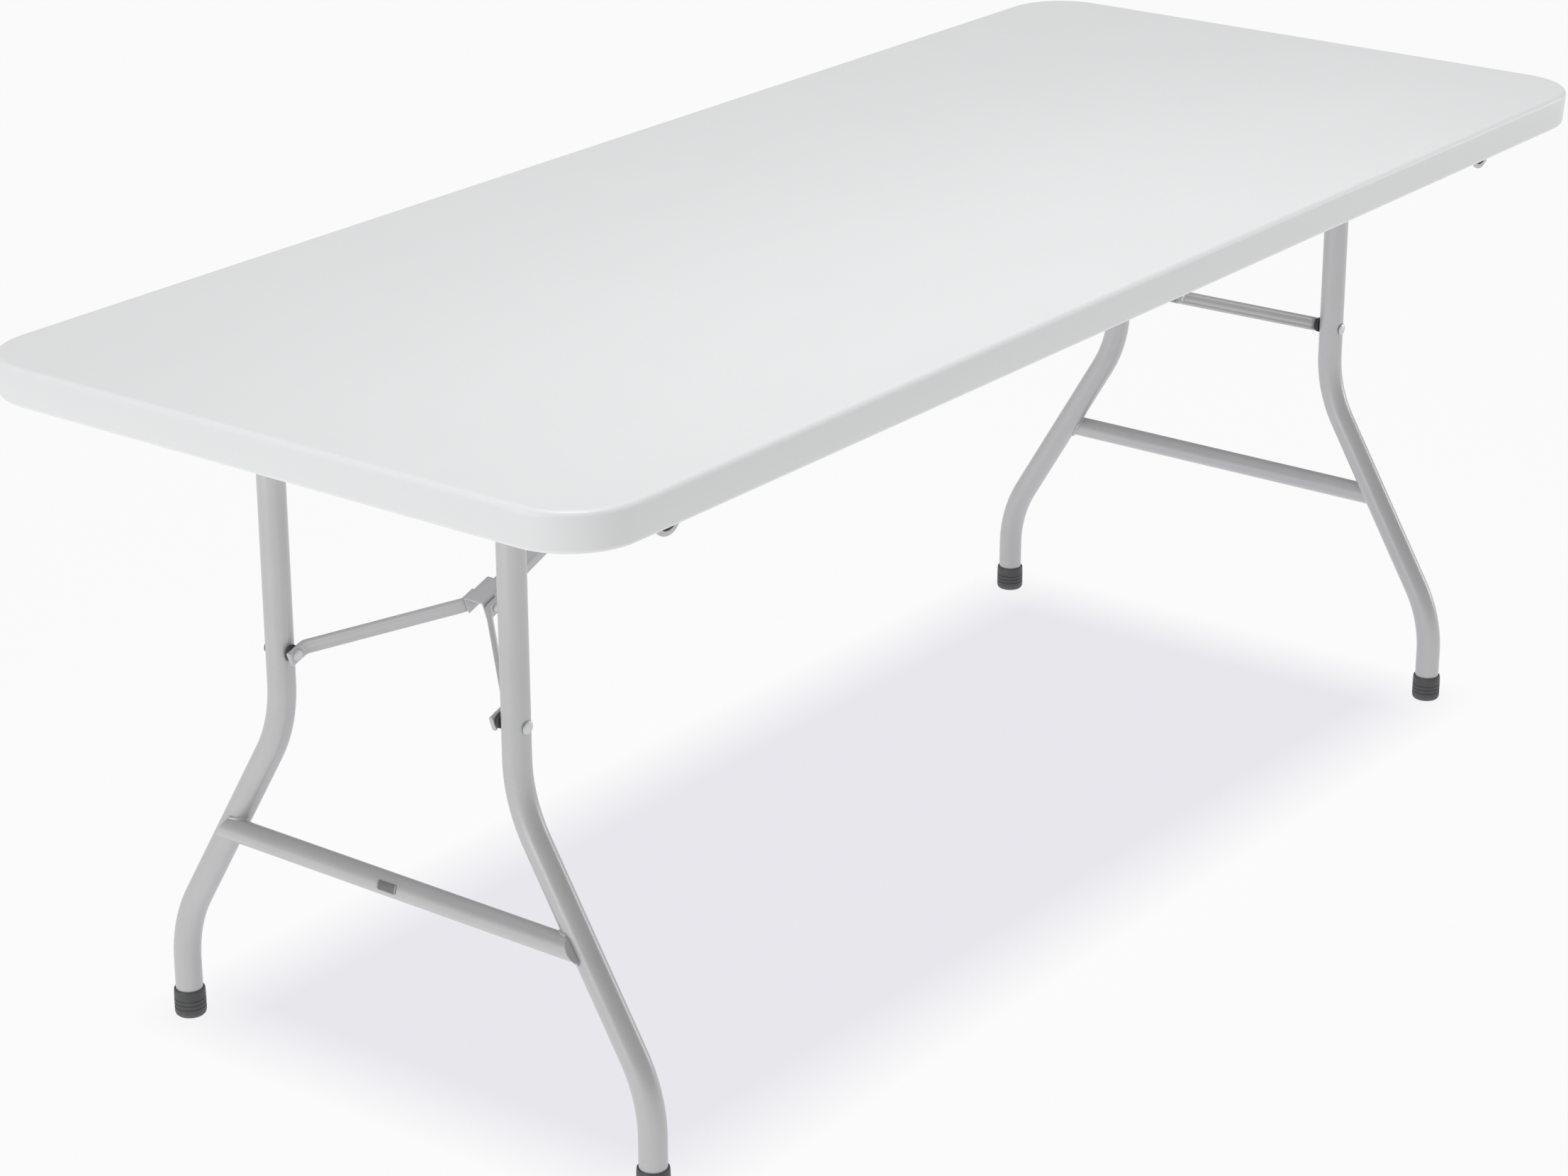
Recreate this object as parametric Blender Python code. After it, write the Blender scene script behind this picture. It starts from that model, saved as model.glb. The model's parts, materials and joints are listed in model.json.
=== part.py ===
"""Folding picnic table: a blow-moulded plastic top on two folding steel leg frames.

Metres, +Z up. The origin is on the floor under the middle of the top, and +X runs along the
table. "Left" is the -X end, "right" the +X end, "front" the -Y side and "back" the +Y side.
Each end is built in the left end's coordinates, on an empty that turns half a turn for the
right end, so both ends are the same set of pieces.
"""
import math

import bmesh
import bpy
from mathutils import Matrix, Vector

GAP = 0.0003                  # clearance between pieces that touch

# Table top
LENGTH = 1.830
WIDTH = 0.760
HEIGHT = 0.740
RIM_DEPTH = 0.040
CORNER_RADIUS = 0.075
CORNER_STEPS = 7
TOP_EDGE = 0.006              # radius of the edge round the top face
RIM_EDGE = 0.005              # radius of the edge round the bottom of the rim
RIM_DRAFT = 0.002             # the rim leans in by this much, from top to bottom
RIM_WIDTH = 0.025
RIM_FILLET = 0.006            # corner between the rim and the panel's underside
PANEL_THICKNESS = 0.018
SKIN = 0.003                  # wall of the hollow moulding
VENT_RADIUS = 0.003
VENT_Y = 0.20
PANEL_UNDER = HEIGHT - PANEL_THICKNESS
MOUNTING = PANEL_UNDER - GAP  # upper face of what is screwed under the panel

# Leg frames
LEG_X = 0.745                 # distance of each leg frame from the middle
PIVOT_Z = 0.688
LEG_RADIUS = 0.014
TUBE_WALL = 0.0012
LEG_TOP_Y = 0.150
LEG_FOOT_Y = 0.305
UPPER_BEND_Z = 0.364
LOWER_BEND_Z = 0.103
BEND_RADIUS = 0.155
BEND_STEPS = 4
TUBE_SIDES = 16
PIVOT_TUBE_RADIUS = 0.0127
PIVOT_TUBE_END_Y = 0.3335
CROSSBAR_RADIUS = 0.012
CROSSBAR_Z = 0.237
CROSSBAR_OFFSET = 0.0123      # its axis lies this far outboard of the legs'
CROSSBAR_SPARE = 0.020        # what is trimmed off each end, along the leg's centre line
CAP_RADIUS = 0.0163
CAP_HEIGHT = 0.030
CAP_FLOOR = 0.004
LABEL_Y = 0.0
LABEL_LENGTH = 0.024
LABEL_HEIGHT = 0.009
LABEL_TILT = 15               # degrees that the label faces upwards

# Under-frame
RAIL_WEB_Y = 0.334
RAIL_FLANGE_Y = 0.312
RAIL_DEPTH = 0.024
RAIL_LENGTH = 1.640
SHEET = 0.0015                # thickness of the pressed steel parts
EAR_INNER_Y = 0.3312          # pivot bracket's inner face
EAR_OUTER_Y = RAIL_WEB_Y - GAP
EAR_RADIUS = 0.020
EAR_HALF_WIDTH = 0.032
EAR_RIVET_X = 0.024
EAR_RIVET_Z = 0.711
EAR_SHOULDER_Z = 0.703
BUSH_RADIUS = 0.0148
BUSH_FLANGE_RADIUS = 0.0178
BUSH_FLANGE = 0.002
CROSSMEMBER_HALF_WIDTH = 0.020
CROSSMEMBER_DEPTH = 0.011
SCREW_RADIUS = 0.002
SCREW_LENGTH = 0.0015         # of the shank that is in the panel's skin
RAIL_SCREWS = 6

# Brace between each leg frame and the middle of the top
SPACER_Z = 0.441
SPACER_RADIUS = 0.0085
SPACER_INNER_Y = 0.1315
ANCHOR_X = 0.045
ANCHOR_Z = 0.710
ANCHOR_HALF_LENGTH = 0.013
ANCHOR_SCREW_Y = 0.023
ANCHOR_WING_Y = 0.030
EAR_DROP = 0.008              # ears' reach below the anchor pin
STRUT_LENGTH = 0.1492         # hinge pin to leg, seen from the side
OVER_CENTRE_SLACK = 0.0001    # strut plus link, less the distance that they span
PIN_RADIUS = 0.003
PIN_HEAD_RADIUS = 0.005
PIN_HEAD = 0.0015
PIN_HOLE_Y = 0.03             # reach of the drill for a pin's holes
LINK_HALF_WIDTH = 0.010
LINK_HALF_HEIGHT = 0.005
LINK_OVERHANG = 0.007
CHEEK_INNER_Y = 0.0105
CHEEK = 0.002
YOKE_WEB_LOW = 0.0095
YOKE_WEB = 0.0015
YOKE_LOW = -0.008
YOKE_BACK = -0.026
YOKE_FRONT = 0.010
STRUT_THICKNESS = 0.005
STRUT_HALF_HEIGHT = 0.008
STRUT_INNER_Y = 0.0153
STRUT_OUTER_Y = 0.1285
STRUT_TAIL = -0.0085          # inner end, on the yoke
STRUT_FIRST_BEND = -0.0245
STRUT_LAST_BEND = -0.137
STRUT_TIP = 0.009             # what runs on past the rivet at the leg
STRUT_RIVET_X = -0.016
RIVET_RADIUS = 0.0025
RIVET_HEAD_RADIUS = 0.0045
RIVET_HEAD = 0.0016
TIP_RIVET_RADIUS = 0.0032
TIP_RIVET_HEAD_RADIUS = 0.0065
LEG_RIVET_RADIUS = 0.004
LEG_RIVET_HEAD_RADIUS = 0.007
LEG_RIVET_HEAD = 0.0016
CLIP_X = PIVOT_Z - CROSSBAR_Z - LEG_X   # where the folded crossbar comes to lie
CLIP_Y = 0.090
CLIP_SCREW_X = 0.021
CLIP_WING_X = 0.027
CLIP_LENGTH = 0.024
CLIP_OPENING = 0.0128
CLIP_WALL = 0.0025
CLIP_BASE = 0.003
CLIP_GRIP = 0.005             # reach of its jaws past the folded crossbar's axis
CLIP_LOW_Z = PIVOT_Z - CROSSBAR_OFFSET - CLIP_GRIP

FINISHES = {
    "white_plastic": ((0.80, 0.81, 0.83), 0.45, 0.0),
    "grey_coating": ((0.46, 0.47, 0.48), 0.38, 0.0),
    "zinc_plate": ((0.62, 0.63, 0.64), 0.35, 1.0),
    "dark_rubber": ((0.075, 0.077, 0.08), 0.6, 0.0),
    "black_nylon": ((0.05, 0.05, 0.052), 0.5, 0.0),
    "dark_label": ((0.10, 0.10, 0.11), 0.5, 0.0),
}


# --- Shapes -------------------------------------------------------------------------------

def loft(shape, rings, closed=False):
    """Skin a row of rings; an open row gets flat ends, a closed one joins last to first."""
    rows = [[shape.verts.new(point) for point in ring] for ring in rings]
    pairs = list(zip(rows, rows[1:]))
    if closed:
        pairs.append((rows[-1], rows[0]))
    else:
        shape.faces.new(rows[0])
        shape.faces.new(rows[-1])
    for near, far in pairs:
        for index in range(len(near)):
            shape.faces.new((near[index - 1], near[index], far[index], far[index - 1]))


def prism(shape, outline, place, low, high):
    """Extrude an outline of (u, v) points from low to high; place(u, v, w) gives the point."""
    loft(shape, [[place(u, v, w) for u, v in outline] for w in (low, high)])


def circle(radius, sides):
    turn = 2 * math.pi / sides
    return [(radius * math.cos(turn * k), radius * math.sin(turn * k)) for k in range(sides)]


def along_x(u, v, w):
    return Vector((w, u, v))


def along_y(u, v, w):
    return Vector((u, w, v))


def along_z(u, v, w):
    return Vector((u, v, w))


def rod(shape, place, centre, radius, low, high, sides=12):
    """A solid cylinder; centre is its (u, v) place in the plane across it."""
    outline = [(centre[0] + u, centre[1] + v) for u, v in circle(radius, sides)]
    prism(shape, outline, place, low, high)


def turned(shape, place, centre, profile, closed=False, sides=16):
    """A turned shape from (radius, w) points along its axis."""
    rings = []
    for radius, w in profile:
        ring = [place(centre[0] + u, centre[1] + v, w) for u, v in circle(radius, sides)]
        rings.append(ring)
    loft(shape, rings, closed)


def tube(shape, path, radius, wall, across, sides=TUBE_SIDES):
    """A hollow tube with open ends along a flat path; across is square to the path's plane."""
    outer = []
    inner = []
    for index, point in enumerate(path):
        before = path[max(index - 1, 0)]
        after = path[min(index + 1, len(path) - 1)]
        side = (after - before).normalized().cross(across)
        outer.append([point + across * u + side * v for u, v in circle(radius, sides)])
        inner.append([point + across * u + side * v for u, v in circle(radius - wall, sides)])
    loft(shape, outer + inner[::-1], closed=True)


def rounded_path(corners, radius, steps):
    """The corner points' path, with each inner corner replaced by an arc."""
    path = [corners[0]]
    for before, corner, after in zip(corners, corners[1:], corners[2:]):
        back = (before - corner).normalized()
        ahead = (after - corner).normalized()
        half = back.angle(ahead) / 2
        middle = corner + (back + ahead).normalized() * radius / math.sin(half)
        sweep = math.pi - 2 * half
        start = corner + back * radius / math.tan(half) - middle
        turn_axis = start.cross(ahead).normalized()
        for step in range(steps + 1):
            path.append(middle + Matrix.Rotation(sweep * step / steps, 3, turn_axis) @ start)
    path.append(corners[-1])
    return path


def offset_path(points, distance):
    """A path of (u, v) points moved sideways, with mitred corners."""
    moved = []
    for index, point in enumerate(points):
        here = Vector(point)
        before = Vector(points[max(index - 1, 0)])
        after = Vector(points[min(index + 1, len(points) - 1)])
        first = (here - before if index else after - here).normalized()
        second = (after - here if index < len(points) - 1 else first).normalized()
        normal = Vector((-first.y - second.y, first.x + second.x)).normalized()
        reach = distance / normal.dot(Vector((-first.y, first.x)))
        moved.append(tuple(here + normal * reach))
    return moved


def arc(centre, radius, start, end, steps):
    """Points of an arc about centre, angles in degrees."""
    angles = [math.radians(start + (end - start) * k / steps) for k in range(steps + 1)]
    return [(centre[0] + radius * math.cos(a), centre[1] + radius * math.sin(a)) for a in angles]


def top_outline(inset, z):
    """The table's plan outline, moved in by inset, at height z."""
    points = []
    for quarter, (sx, sy) in enumerate(((1, 1), (-1, 1), (-1, -1), (1, -1))):
        middle = (sx * (LENGTH / 2 - CORNER_RADIUS), sy * (WIDTH / 2 - CORNER_RADIUS))
        start = 90 * quarter
        points += arc(middle, CORNER_RADIUS - inset, start, start + 90, CORNER_STEPS)
    return [Vector((x, y, z)) for x, y in points]


# --- Objects ------------------------------------------------------------------------------

def finish_material(name, finish):
    colour, roughness, metallic = FINISHES[finish]
    material = bpy.data.materials.new(name)
    material.use_nodes = True
    shader = material.node_tree.nodes["Principled BSDF"]
    shader.inputs["Base Color"].default_value = (*colour, 1.0)
    shader.inputs["Roughness"].default_value = roughness
    shader.inputs["Metallic"].default_value = metallic
    return material


def add_object(name, shape, parent):
    bmesh.ops.recalc_face_normals(shape, faces=shape.faces)
    mesh = bpy.data.meshes.new(name)
    shape.to_mesh(mesh)
    shape.free()
    piece = bpy.data.objects.new(name, mesh)
    piece.parent = parent
    bpy.context.collection.objects.link(piece)
    return piece


def add_piece(name, finish, build, parent=None, smooth=40):
    """One named piece; build(shape) draws it in its parent's frame."""
    shape = bmesh.new()
    build(shape)
    piece = add_object(name, shape, parent)
    piece.data.materials.append(finish_material(name, finish))
    piece.data.shade_smooth()
    piece.data.set_sharp_from_angle(angle=math.radians(smooth))
    return piece


def combine(piece, build, operation):
    """Cut build's solids out of the piece, or fuse them to it."""
    shape = bmesh.new()
    build(shape)
    cutter = add_object(piece.name + "_" + operation.lower(), shape, piece.parent)
    cutter.hide_render = True
    cutter.display_type = "WIRE"
    modifier = piece.modifiers.new(operation.title(), "BOOLEAN")
    modifier.operation = operation
    modifier.solver = "EXACT"
    modifier.object = cutter


def add_empty(name, location, tilt=0.0, turn=0.0, parent=None):
    """A joint's frame: tilt about Y, or turn about Z, both in radians."""
    empty = bpy.data.objects.new(name, None)
    empty.location = location
    empty.rotation_euler = (0.0, tilt, turn)
    empty.parent = parent
    bpy.context.collection.objects.link(empty)
    return empty


# --- Table top and under-frame ------------------------------------------------------------

def quarter_turns(steps):
    return [math.pi / 2 * k / steps for k in range(steps + 1)]


def table_top(shape):
    """Outer skin: round the top edge, down the rim, round it and back up to the panel."""
    rim_low = HEIGHT - RIM_DEPTH
    profile = [(TOP_EDGE * (1 - math.sin(a)), HEIGHT - TOP_EDGE * (1 - math.cos(a)))
               for a in quarter_turns(3)]
    profile += [(RIM_DRAFT + RIM_EDGE * (1 - math.cos(a)), rim_low + RIM_EDGE * (1 - math.sin(a)))
                for a in quarter_turns(3)]
    profile += [(RIM_WIDTH - SKIN, rim_low), (RIM_WIDTH, rim_low + SKIN),
                (RIM_WIDTH + RIM_FILLET / 3, PANEL_UNDER - 2 * RIM_FILLET / 3),
                (RIM_WIDTH + RIM_FILLET, PANEL_UNDER)]
    loft(shape, [top_outline(inset, z) for inset, z in profile])


def table_hollow(shape):
    """The air space inside the moulding, and the blind pockets for the screws."""
    rim_low = HEIGHT - RIM_DEPTH
    ceiling = HEIGHT - SKIN
    profile = [(TOP_EDGE, ceiling), (SKIN, ceiling - SKIN), (SKIN + RIM_DRAFT, rim_low + RIM_EDGE),
               (SKIN + RIM_EDGE, rim_low + SKIN), (RIM_WIDTH - 2 * SKIN, rim_low + SKIN),
               (RIM_WIDTH - SKIN, rim_low + RIM_EDGE), (RIM_WIDTH - SKIN, PANEL_UNDER),
               (RIM_WIDTH, PANEL_UNDER + SKIN)]
    loft(shape, [top_outline(inset, z) for inset, z in profile])
    for places in (rail_screw_places(), crossmember_screw_places(), end_screw_places()):
        for place in places:
            rod(shape, along_z, place, SCREW_RADIUS + GAP, PANEL_UNDER - SKIN,
                MOUNTING + SCREW_LENGTH + GAP, 8)


def table_vent(shape):
    rod(shape, along_z, (0.0, VENT_Y), VENT_RADIUS, PANEL_UNDER - SKIN, PANEL_UNDER + 2 * SKIN, 8)


def rail_screw_places():
    spacing = (RAIL_LENGTH - 0.10) / (RAIL_SCREWS - 1)
    y = (RAIL_FLANGE_Y + RAIL_WEB_Y) / 2
    return [(spacing * (k - (RAIL_SCREWS - 1) / 2), side * y)
            for side in (-1, 1) for k in range(RAIL_SCREWS)]


def crossmember_screw_places():
    return [(0.0, y) for y in (-0.285, -0.10, 0.10, 0.285)]


def end_screw_places():
    """Screws of the anchor brackets and leg clips, at both ends."""
    places = [(-ANCHOR_X, y) for y in (-ANCHOR_SCREW_Y, ANCHOR_SCREW_Y)]
    places += [(CLIP_X + x, y) for x in (-CLIP_SCREW_X, CLIP_SCREW_X) for y in (-CLIP_Y, CLIP_Y)]
    return places + [(-x, -y) for x, y in places]


def screw_holes(shape, places):
    for place in places:
        rod(shape, along_z, place, SCREW_RADIUS + GAP, MOUNTING - 2 * SHEET, MOUNTING + SHEET, 8)


def side_rail(side):
    """An angle section, its web standing outside and its flange screwed up to the panel."""
    def build(shape):
        outline = [(side * y, z) for y, z in (
            (RAIL_FLANGE_Y, MOUNTING), (RAIL_WEB_Y + SHEET, MOUNTING),
            (RAIL_WEB_Y + SHEET, MOUNTING - RAIL_DEPTH), (RAIL_WEB_Y, MOUNTING - RAIL_DEPTH),
            (RAIL_WEB_Y, MOUNTING - SHEET), (RAIL_FLANGE_Y, MOUNTING - SHEET))]
        prism(shape, outline, along_x, -RAIL_LENGTH / 2, RAIL_LENGTH / 2)
    return build


def rail_holes(side):
    def build(shape):
        screw_holes(shape, [place for place in rail_screw_places() if place[1] * side > 0])
        for x in (-LEG_X, LEG_X):
            for rivet_x in (-EAR_RIVET_X, EAR_RIVET_X):
                rod(shape, along_y, (x + rivet_x, EAR_RIVET_Z), RIVET_RADIUS + GAP,
                    side * EAR_INNER_Y, side * (RAIL_WEB_Y + 2 * SHEET), 8)
    return build


def crossmember(shape):
    """A shallow channel across the middle of the panel, open side down."""
    half = CROSSMEMBER_HALF_WIDTH
    low = MOUNTING - CROSSMEMBER_DEPTH
    end = RAIL_FLANGE_Y - 2 * GAP
    outline = [(-half, low), (-half, MOUNTING), (half, MOUNTING), (half, low),
               (half - SHEET, low), (half - SHEET, MOUNTING - SHEET),
               (SHEET - half, MOUNTING - SHEET), (SHEET - half, low)]
    prism(shape, outline, along_y, -end, end)


# --- One end of the under-frame, in the left end's coordinates -----------------------------

def pivot_bracket(side):
    """An ear that hangs from the rail and holds the leg frame's pivot bush."""
    def build(shape):
        outline = [(EAR_HALF_WIDTH, MOUNTING - 2 * SHEET), (EAR_HALF_WIDTH, EAR_SHOULDER_Z)]
        outline += arc((0, PIVOT_Z), EAR_RADIUS, -15, -165, 8)
        outline += [(-u, w) for u, w in outline[1::-1]]
        outline = [(u - LEG_X, w) for u, w in outline]
        prism(shape, outline, along_y, side * EAR_INNER_Y, side * EAR_OUTER_Y)
    return build


def bracket_holes(side):
    def build(shape):
        low, high = side * (EAR_INNER_Y - SHEET), side * (EAR_OUTER_Y + SHEET)
        rod(shape, along_y, (-LEG_X, PIVOT_Z), BUSH_RADIUS + GAP, low, high, TUBE_SIDES)
        for x in (-EAR_RIVET_X, EAR_RIVET_X):
            rod(shape, along_y, (x - LEG_X, EAR_RIVET_Z), RIVET_RADIUS + GAP, low, high, 8)
    return build


def pivot_bush(side):
    def build(shape):
        bore = PIVOT_TUBE_RADIUS + GAP
        flange = EAR_INNER_Y - GAP
        profile = [(bore, flange - BUSH_FLANGE), (BUSH_FLANGE_RADIUS, flange - BUSH_FLANGE),
                   (BUSH_FLANGE_RADIUS, flange), (BUSH_RADIUS, flange), (BUSH_RADIUS, EAR_OUTER_Y),
                   (bore, EAR_OUTER_Y)]
        turned(shape, along_y, (-LEG_X, PIVOT_Z), [(r, side * w) for r, w in profile], closed=True)
    return build


def anchor_bracket(shape):
    """Two ears for the brace's pin, bent down from a base that is screwed to the panel."""
    outer = CHEEK_INNER_Y + CHEEK
    outline = [(-outer, ANCHOR_Z - EAR_DROP), (-outer, MOUNTING), (outer, MOUNTING),
               (outer, ANCHOR_Z - EAR_DROP), (CHEEK_INNER_Y, ANCHOR_Z - EAR_DROP),
               (CHEEK_INNER_Y, MOUNTING - SHEET), (-CHEEK_INNER_Y, MOUNTING - SHEET),
               (-CHEEK_INNER_Y, ANCHOR_Z - EAR_DROP)]
    prism(shape, outline, along_x, -ANCHOR_X - ANCHOR_HALF_LENGTH, -ANCHOR_X + ANCHOR_HALF_LENGTH)


def anchor_wings(shape):
    near, far = -ANCHOR_X - ANCHOR_HALF_LENGTH + SHEET, -ANCHOR_X + ANCHOR_HALF_LENGTH - SHEET
    outline = [(near, -ANCHOR_WING_Y), (far, -ANCHOR_WING_Y), (far, ANCHOR_WING_Y),
               (near, ANCHOR_WING_Y)]
    prism(shape, outline, along_z, MOUNTING - SHEET, MOUNTING)


def anchor_holes(shape):
    rod(shape, along_y, (-ANCHOR_X, ANCHOR_Z), PIN_RADIUS + GAP, -PIN_HOLE_Y, PIN_HOLE_Y, 10)
    screw_holes(shape, [(-ANCHOR_X, y) for y in (-ANCHOR_SCREW_Y, ANCHOR_SCREW_Y)])


def leg_clip(side):
    """A nylon clip that takes the crossbar of the folded leg frame."""
    def build(shape):
        outer = CLIP_OPENING + CLIP_WALL
        base = MOUNTING - CLIP_BASE
        outline = [(-CLIP_WING_X, base), (-CLIP_WING_X, MOUNTING), (CLIP_WING_X, MOUNTING),
                   (CLIP_WING_X, base), (outer, base), (outer, CLIP_LOW_Z),
                   (CLIP_OPENING, CLIP_LOW_Z), (CLIP_OPENING, base), (-CLIP_OPENING, base),
                   (-CLIP_OPENING, CLIP_LOW_Z), (-outer, CLIP_LOW_Z), (-outer, base)]
        outline = [(CLIP_X + u, w) for u, w in outline]
        low, high = side * CLIP_Y - CLIP_LENGTH / 2, side * CLIP_Y + CLIP_LENGTH / 2
        prism(shape, outline, along_y, low, high)
    return build


def clip_holes(side):
    def build(shape):
        for x in (-CLIP_SCREW_X, CLIP_SCREW_X):
            rod(shape, along_z, (CLIP_X + x, side * CLIP_Y), SCREW_RADIUS + GAP,
                MOUNTING - 2 * CLIP_BASE, MOUNTING + SHEET, 8)
    return build


# --- Leg frame, measured from its pivot -----------------------------------------------------

def leg_corners(side):
    """Corners of a leg's centre line, from the pivot down to the foot."""
    heights = (PIVOT_Z - GAP, UPPER_BEND_Z, LOWER_BEND_Z, CAP_FLOOR + GAP)
    widths = (LEG_TOP_Y, LEG_TOP_Y, LEG_FOOT_Y, LEG_FOOT_Y)
    return [Vector((0, side * y, z - PIVOT_Z)) for y, z in zip(widths, heights)]


def pivot_tube(shape):
    path = [Vector((0, y, 0)) for y in (-PIVOT_TUBE_END_Y, PIVOT_TUBE_END_Y)]
    tube(shape, path, PIVOT_TUBE_RADIUS, TUBE_WALL, Vector((1, 0, 0)))


def leg_tube(side):
    def build(shape):
        path = rounded_path(leg_corners(side), BEND_RADIUS, BEND_STEPS)
        tube(shape, path, LEG_RADIUS, TUBE_WALL, Vector((1, 0, 0)))
    return build


def leg_cuts(side):
    """The saddle that fits the pivot tube, and the holes for the brace's rivet."""
    def build(shape):
        near, far = side * (LEG_TOP_Y - 2 * LEG_RADIUS), side * (LEG_TOP_Y + 2 * LEG_RADIUS)
        rod(shape, along_y, (0, 0), PIVOT_TUBE_RADIUS + GAP, near, far, TUBE_SIDES)
        rod(shape, along_y, (0, SPACER_Z - PIVOT_Z), LEG_RIVET_RADIUS + GAP, near, far, 10)
    return build


def crossbar(shape):
    """It lies against the outboard side of both legs."""
    run = (UPPER_BEND_Z - CROSSBAR_Z) / (UPPER_BEND_Z - LOWER_BEND_Z)
    end = LEG_TOP_Y + (LEG_FOOT_Y - LEG_TOP_Y) * run + CROSSBAR_SPARE
    path = [Vector((-CROSSBAR_OFFSET, y, CROSSBAR_Z - PIVOT_Z)) for y in (-end, end)]
    tube(shape, path, CROSSBAR_RADIUS, TUBE_WALL, Vector((1, 0, 0)))


def crossbar_cuts(shape):
    """The crossbar is notched to fit the slanting legs, and trimmed at their centre lines."""
    far = 2 * CROSSBAR_SPARE
    arch = [(u, v) for u, v in circle(LEG_RADIUS + GAP, TUBE_SIDES) if v < GAP]
    arch = sorted(arch)
    outline = [(-far, arch[0][1])] + arch + [(far, arch[-1][1]), (far, far), (-far, far)]
    for side in (-1, 1):
        top, bottom = leg_corners(side)[1:3]
        away = (top - bottom).normalized()
        sideways = away.cross(Vector((1, 0, 0)))
        outward = sideways if sideways.y * side > 0 else -sideways
        loft(shape, [[centre + Vector((1, 0, 0)) * u + outward * v for u, v in outline]
                     for centre in (top, bottom)])


def foot_cap(side):
    def build(shape):
        bore = LEG_RADIUS + GAP
        profile = [(CAP_RADIUS - 0.003, 0), (CAP_RADIUS - 0.0008, 0.0016), (CAP_RADIUS, 0.005),
                   (CAP_RADIUS - 0.0003, CAP_HEIGHT - 0.002), (CAP_RADIUS - 0.001, CAP_HEIGHT),
                   (bore, CAP_HEIGHT), (bore, CAP_FLOOR)]
        turned(shape, along_z, (0, side * LEG_FOOT_Y), [(r, w - PIVOT_Z) for r, w in profile])
    return build


def brace_spacer(side):
    def build(shape):
        bore = LEG_RIVET_RADIUS + GAP
        near, far = side * SPACER_INNER_Y, side * (LEG_TOP_Y - LEG_RADIUS - GAP)
        profile = [(bore, near), (SPACER_RADIUS, near), (SPACER_RADIUS, far), (bore, far)]
        turned(shape, along_y, (0, SPACER_Z - PIVOT_Z), profile, closed=True)
    return build


def leg_rivet(side):
    """The rivet through a leg and its spacer, with a low head on the outside."""
    def build(shape):
        head = LEG_TOP_Y + LEG_RADIUS + GAP
        profile = [(LEG_RIVET_RADIUS, SPACER_INNER_Y), (LEG_RIVET_RADIUS, head),
                   (LEG_RIVET_HEAD_RADIUS, head),
                   (LEG_RIVET_HEAD_RADIUS, head + LEG_RIVET_HEAD / 2),
                   (LEG_RIVET_HEAD_RADIUS * 0.7, head + LEG_RIVET_HEAD)]
        turned(shape, along_y, (0, SPACER_Z - PIVOT_Z), [(r, side * w) for r, w in profile],
               sides=12)
    return build


def blank_label(shape):
    """A plain plate, curved to the crossbar's outer side."""
    middle = (-CROSSBAR_OFFSET, CROSSBAR_Z - PIVOT_Z)
    half = math.degrees(LABEL_HEIGHT / CROSSBAR_RADIUS) / 2
    facing = 180 - LABEL_TILT
    near = CROSSBAR_RADIUS + GAP
    outline = arc(middle, near, facing - half, facing + half, 4)
    outline += arc(middle, near + 2 * GAP, facing + half, facing - half, 4)
    prism(shape, outline, along_y, LABEL_Y - LABEL_LENGTH / 2, LABEL_Y + LABEL_LENGTH / 2)


# --- Brace: the link is measured from its anchor pin, the yoke from the hinge pin -----------

def brace_points():
    """Anchor, hinge pin and spacer of the left end's brace, seen from the side as (x, z)."""
    anchor = Vector((-ANCHOR_X, ANCHOR_Z))
    spacer = Vector((-LEG_X, SPACER_Z))
    span = (spacer - anchor).length
    link = span + OVER_CENTRE_SLACK - STRUT_LENGTH
    along = (link ** 2 - STRUT_LENGTH ** 2 + span ** 2) / (2 * span)
    drop = math.sqrt(link ** 2 - along ** 2)
    ahead = (spacer - anchor) / span
    hinge = anchor + ahead * along + Vector((-ahead.y, ahead.x)) * drop
    return anchor, hinge, spacer, link


def tilt_towards(start, end):
    """The turn about Y that points a frame's -X from start to end."""
    return math.atan2(end.y - start.y, start.x - end.x)


def link(length):
    def build(shape):
        wide, high = LINK_HALF_WIDTH, LINK_HALF_HEIGHT
        outline = [(-wide, -high), (-wide, high), (wide, high), (wide, -high), (wide - SHEET, -high),
                   (wide - SHEET, high - SHEET), (SHEET - wide, high - SHEET), (SHEET - wide, -high)]
        prism(shape, outline, along_x, -length - LINK_OVERHANG, LINK_OVERHANG)
    return build


def link_holes(length):
    def build(shape):
        for x in (0.0, -length):
            rod(shape, along_y, (x, 0), PIN_RADIUS + GAP, -PIN_HOLE_Y, PIN_HOLE_Y, 10)
    return build


def brace_pin(shape):
    """A pin with a head at each end, through two cheeks and the link between them."""
    head = CHEEK_INNER_Y + CHEEK + GAP
    profile = [(PIN_HEAD_RADIUS * 0.7, -head - PIN_HEAD), (PIN_HEAD_RADIUS, -head - PIN_HEAD / 2),
               (PIN_HEAD_RADIUS, -head), (PIN_RADIUS, -head), (PIN_RADIUS, head),
               (PIN_HEAD_RADIUS, head), (PIN_HEAD_RADIUS, head + PIN_HEAD / 2),
               (PIN_HEAD_RADIUS * 0.7, head + PIN_HEAD)]
    turned(shape, along_y, (0, 0), profile, sides=12)


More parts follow.
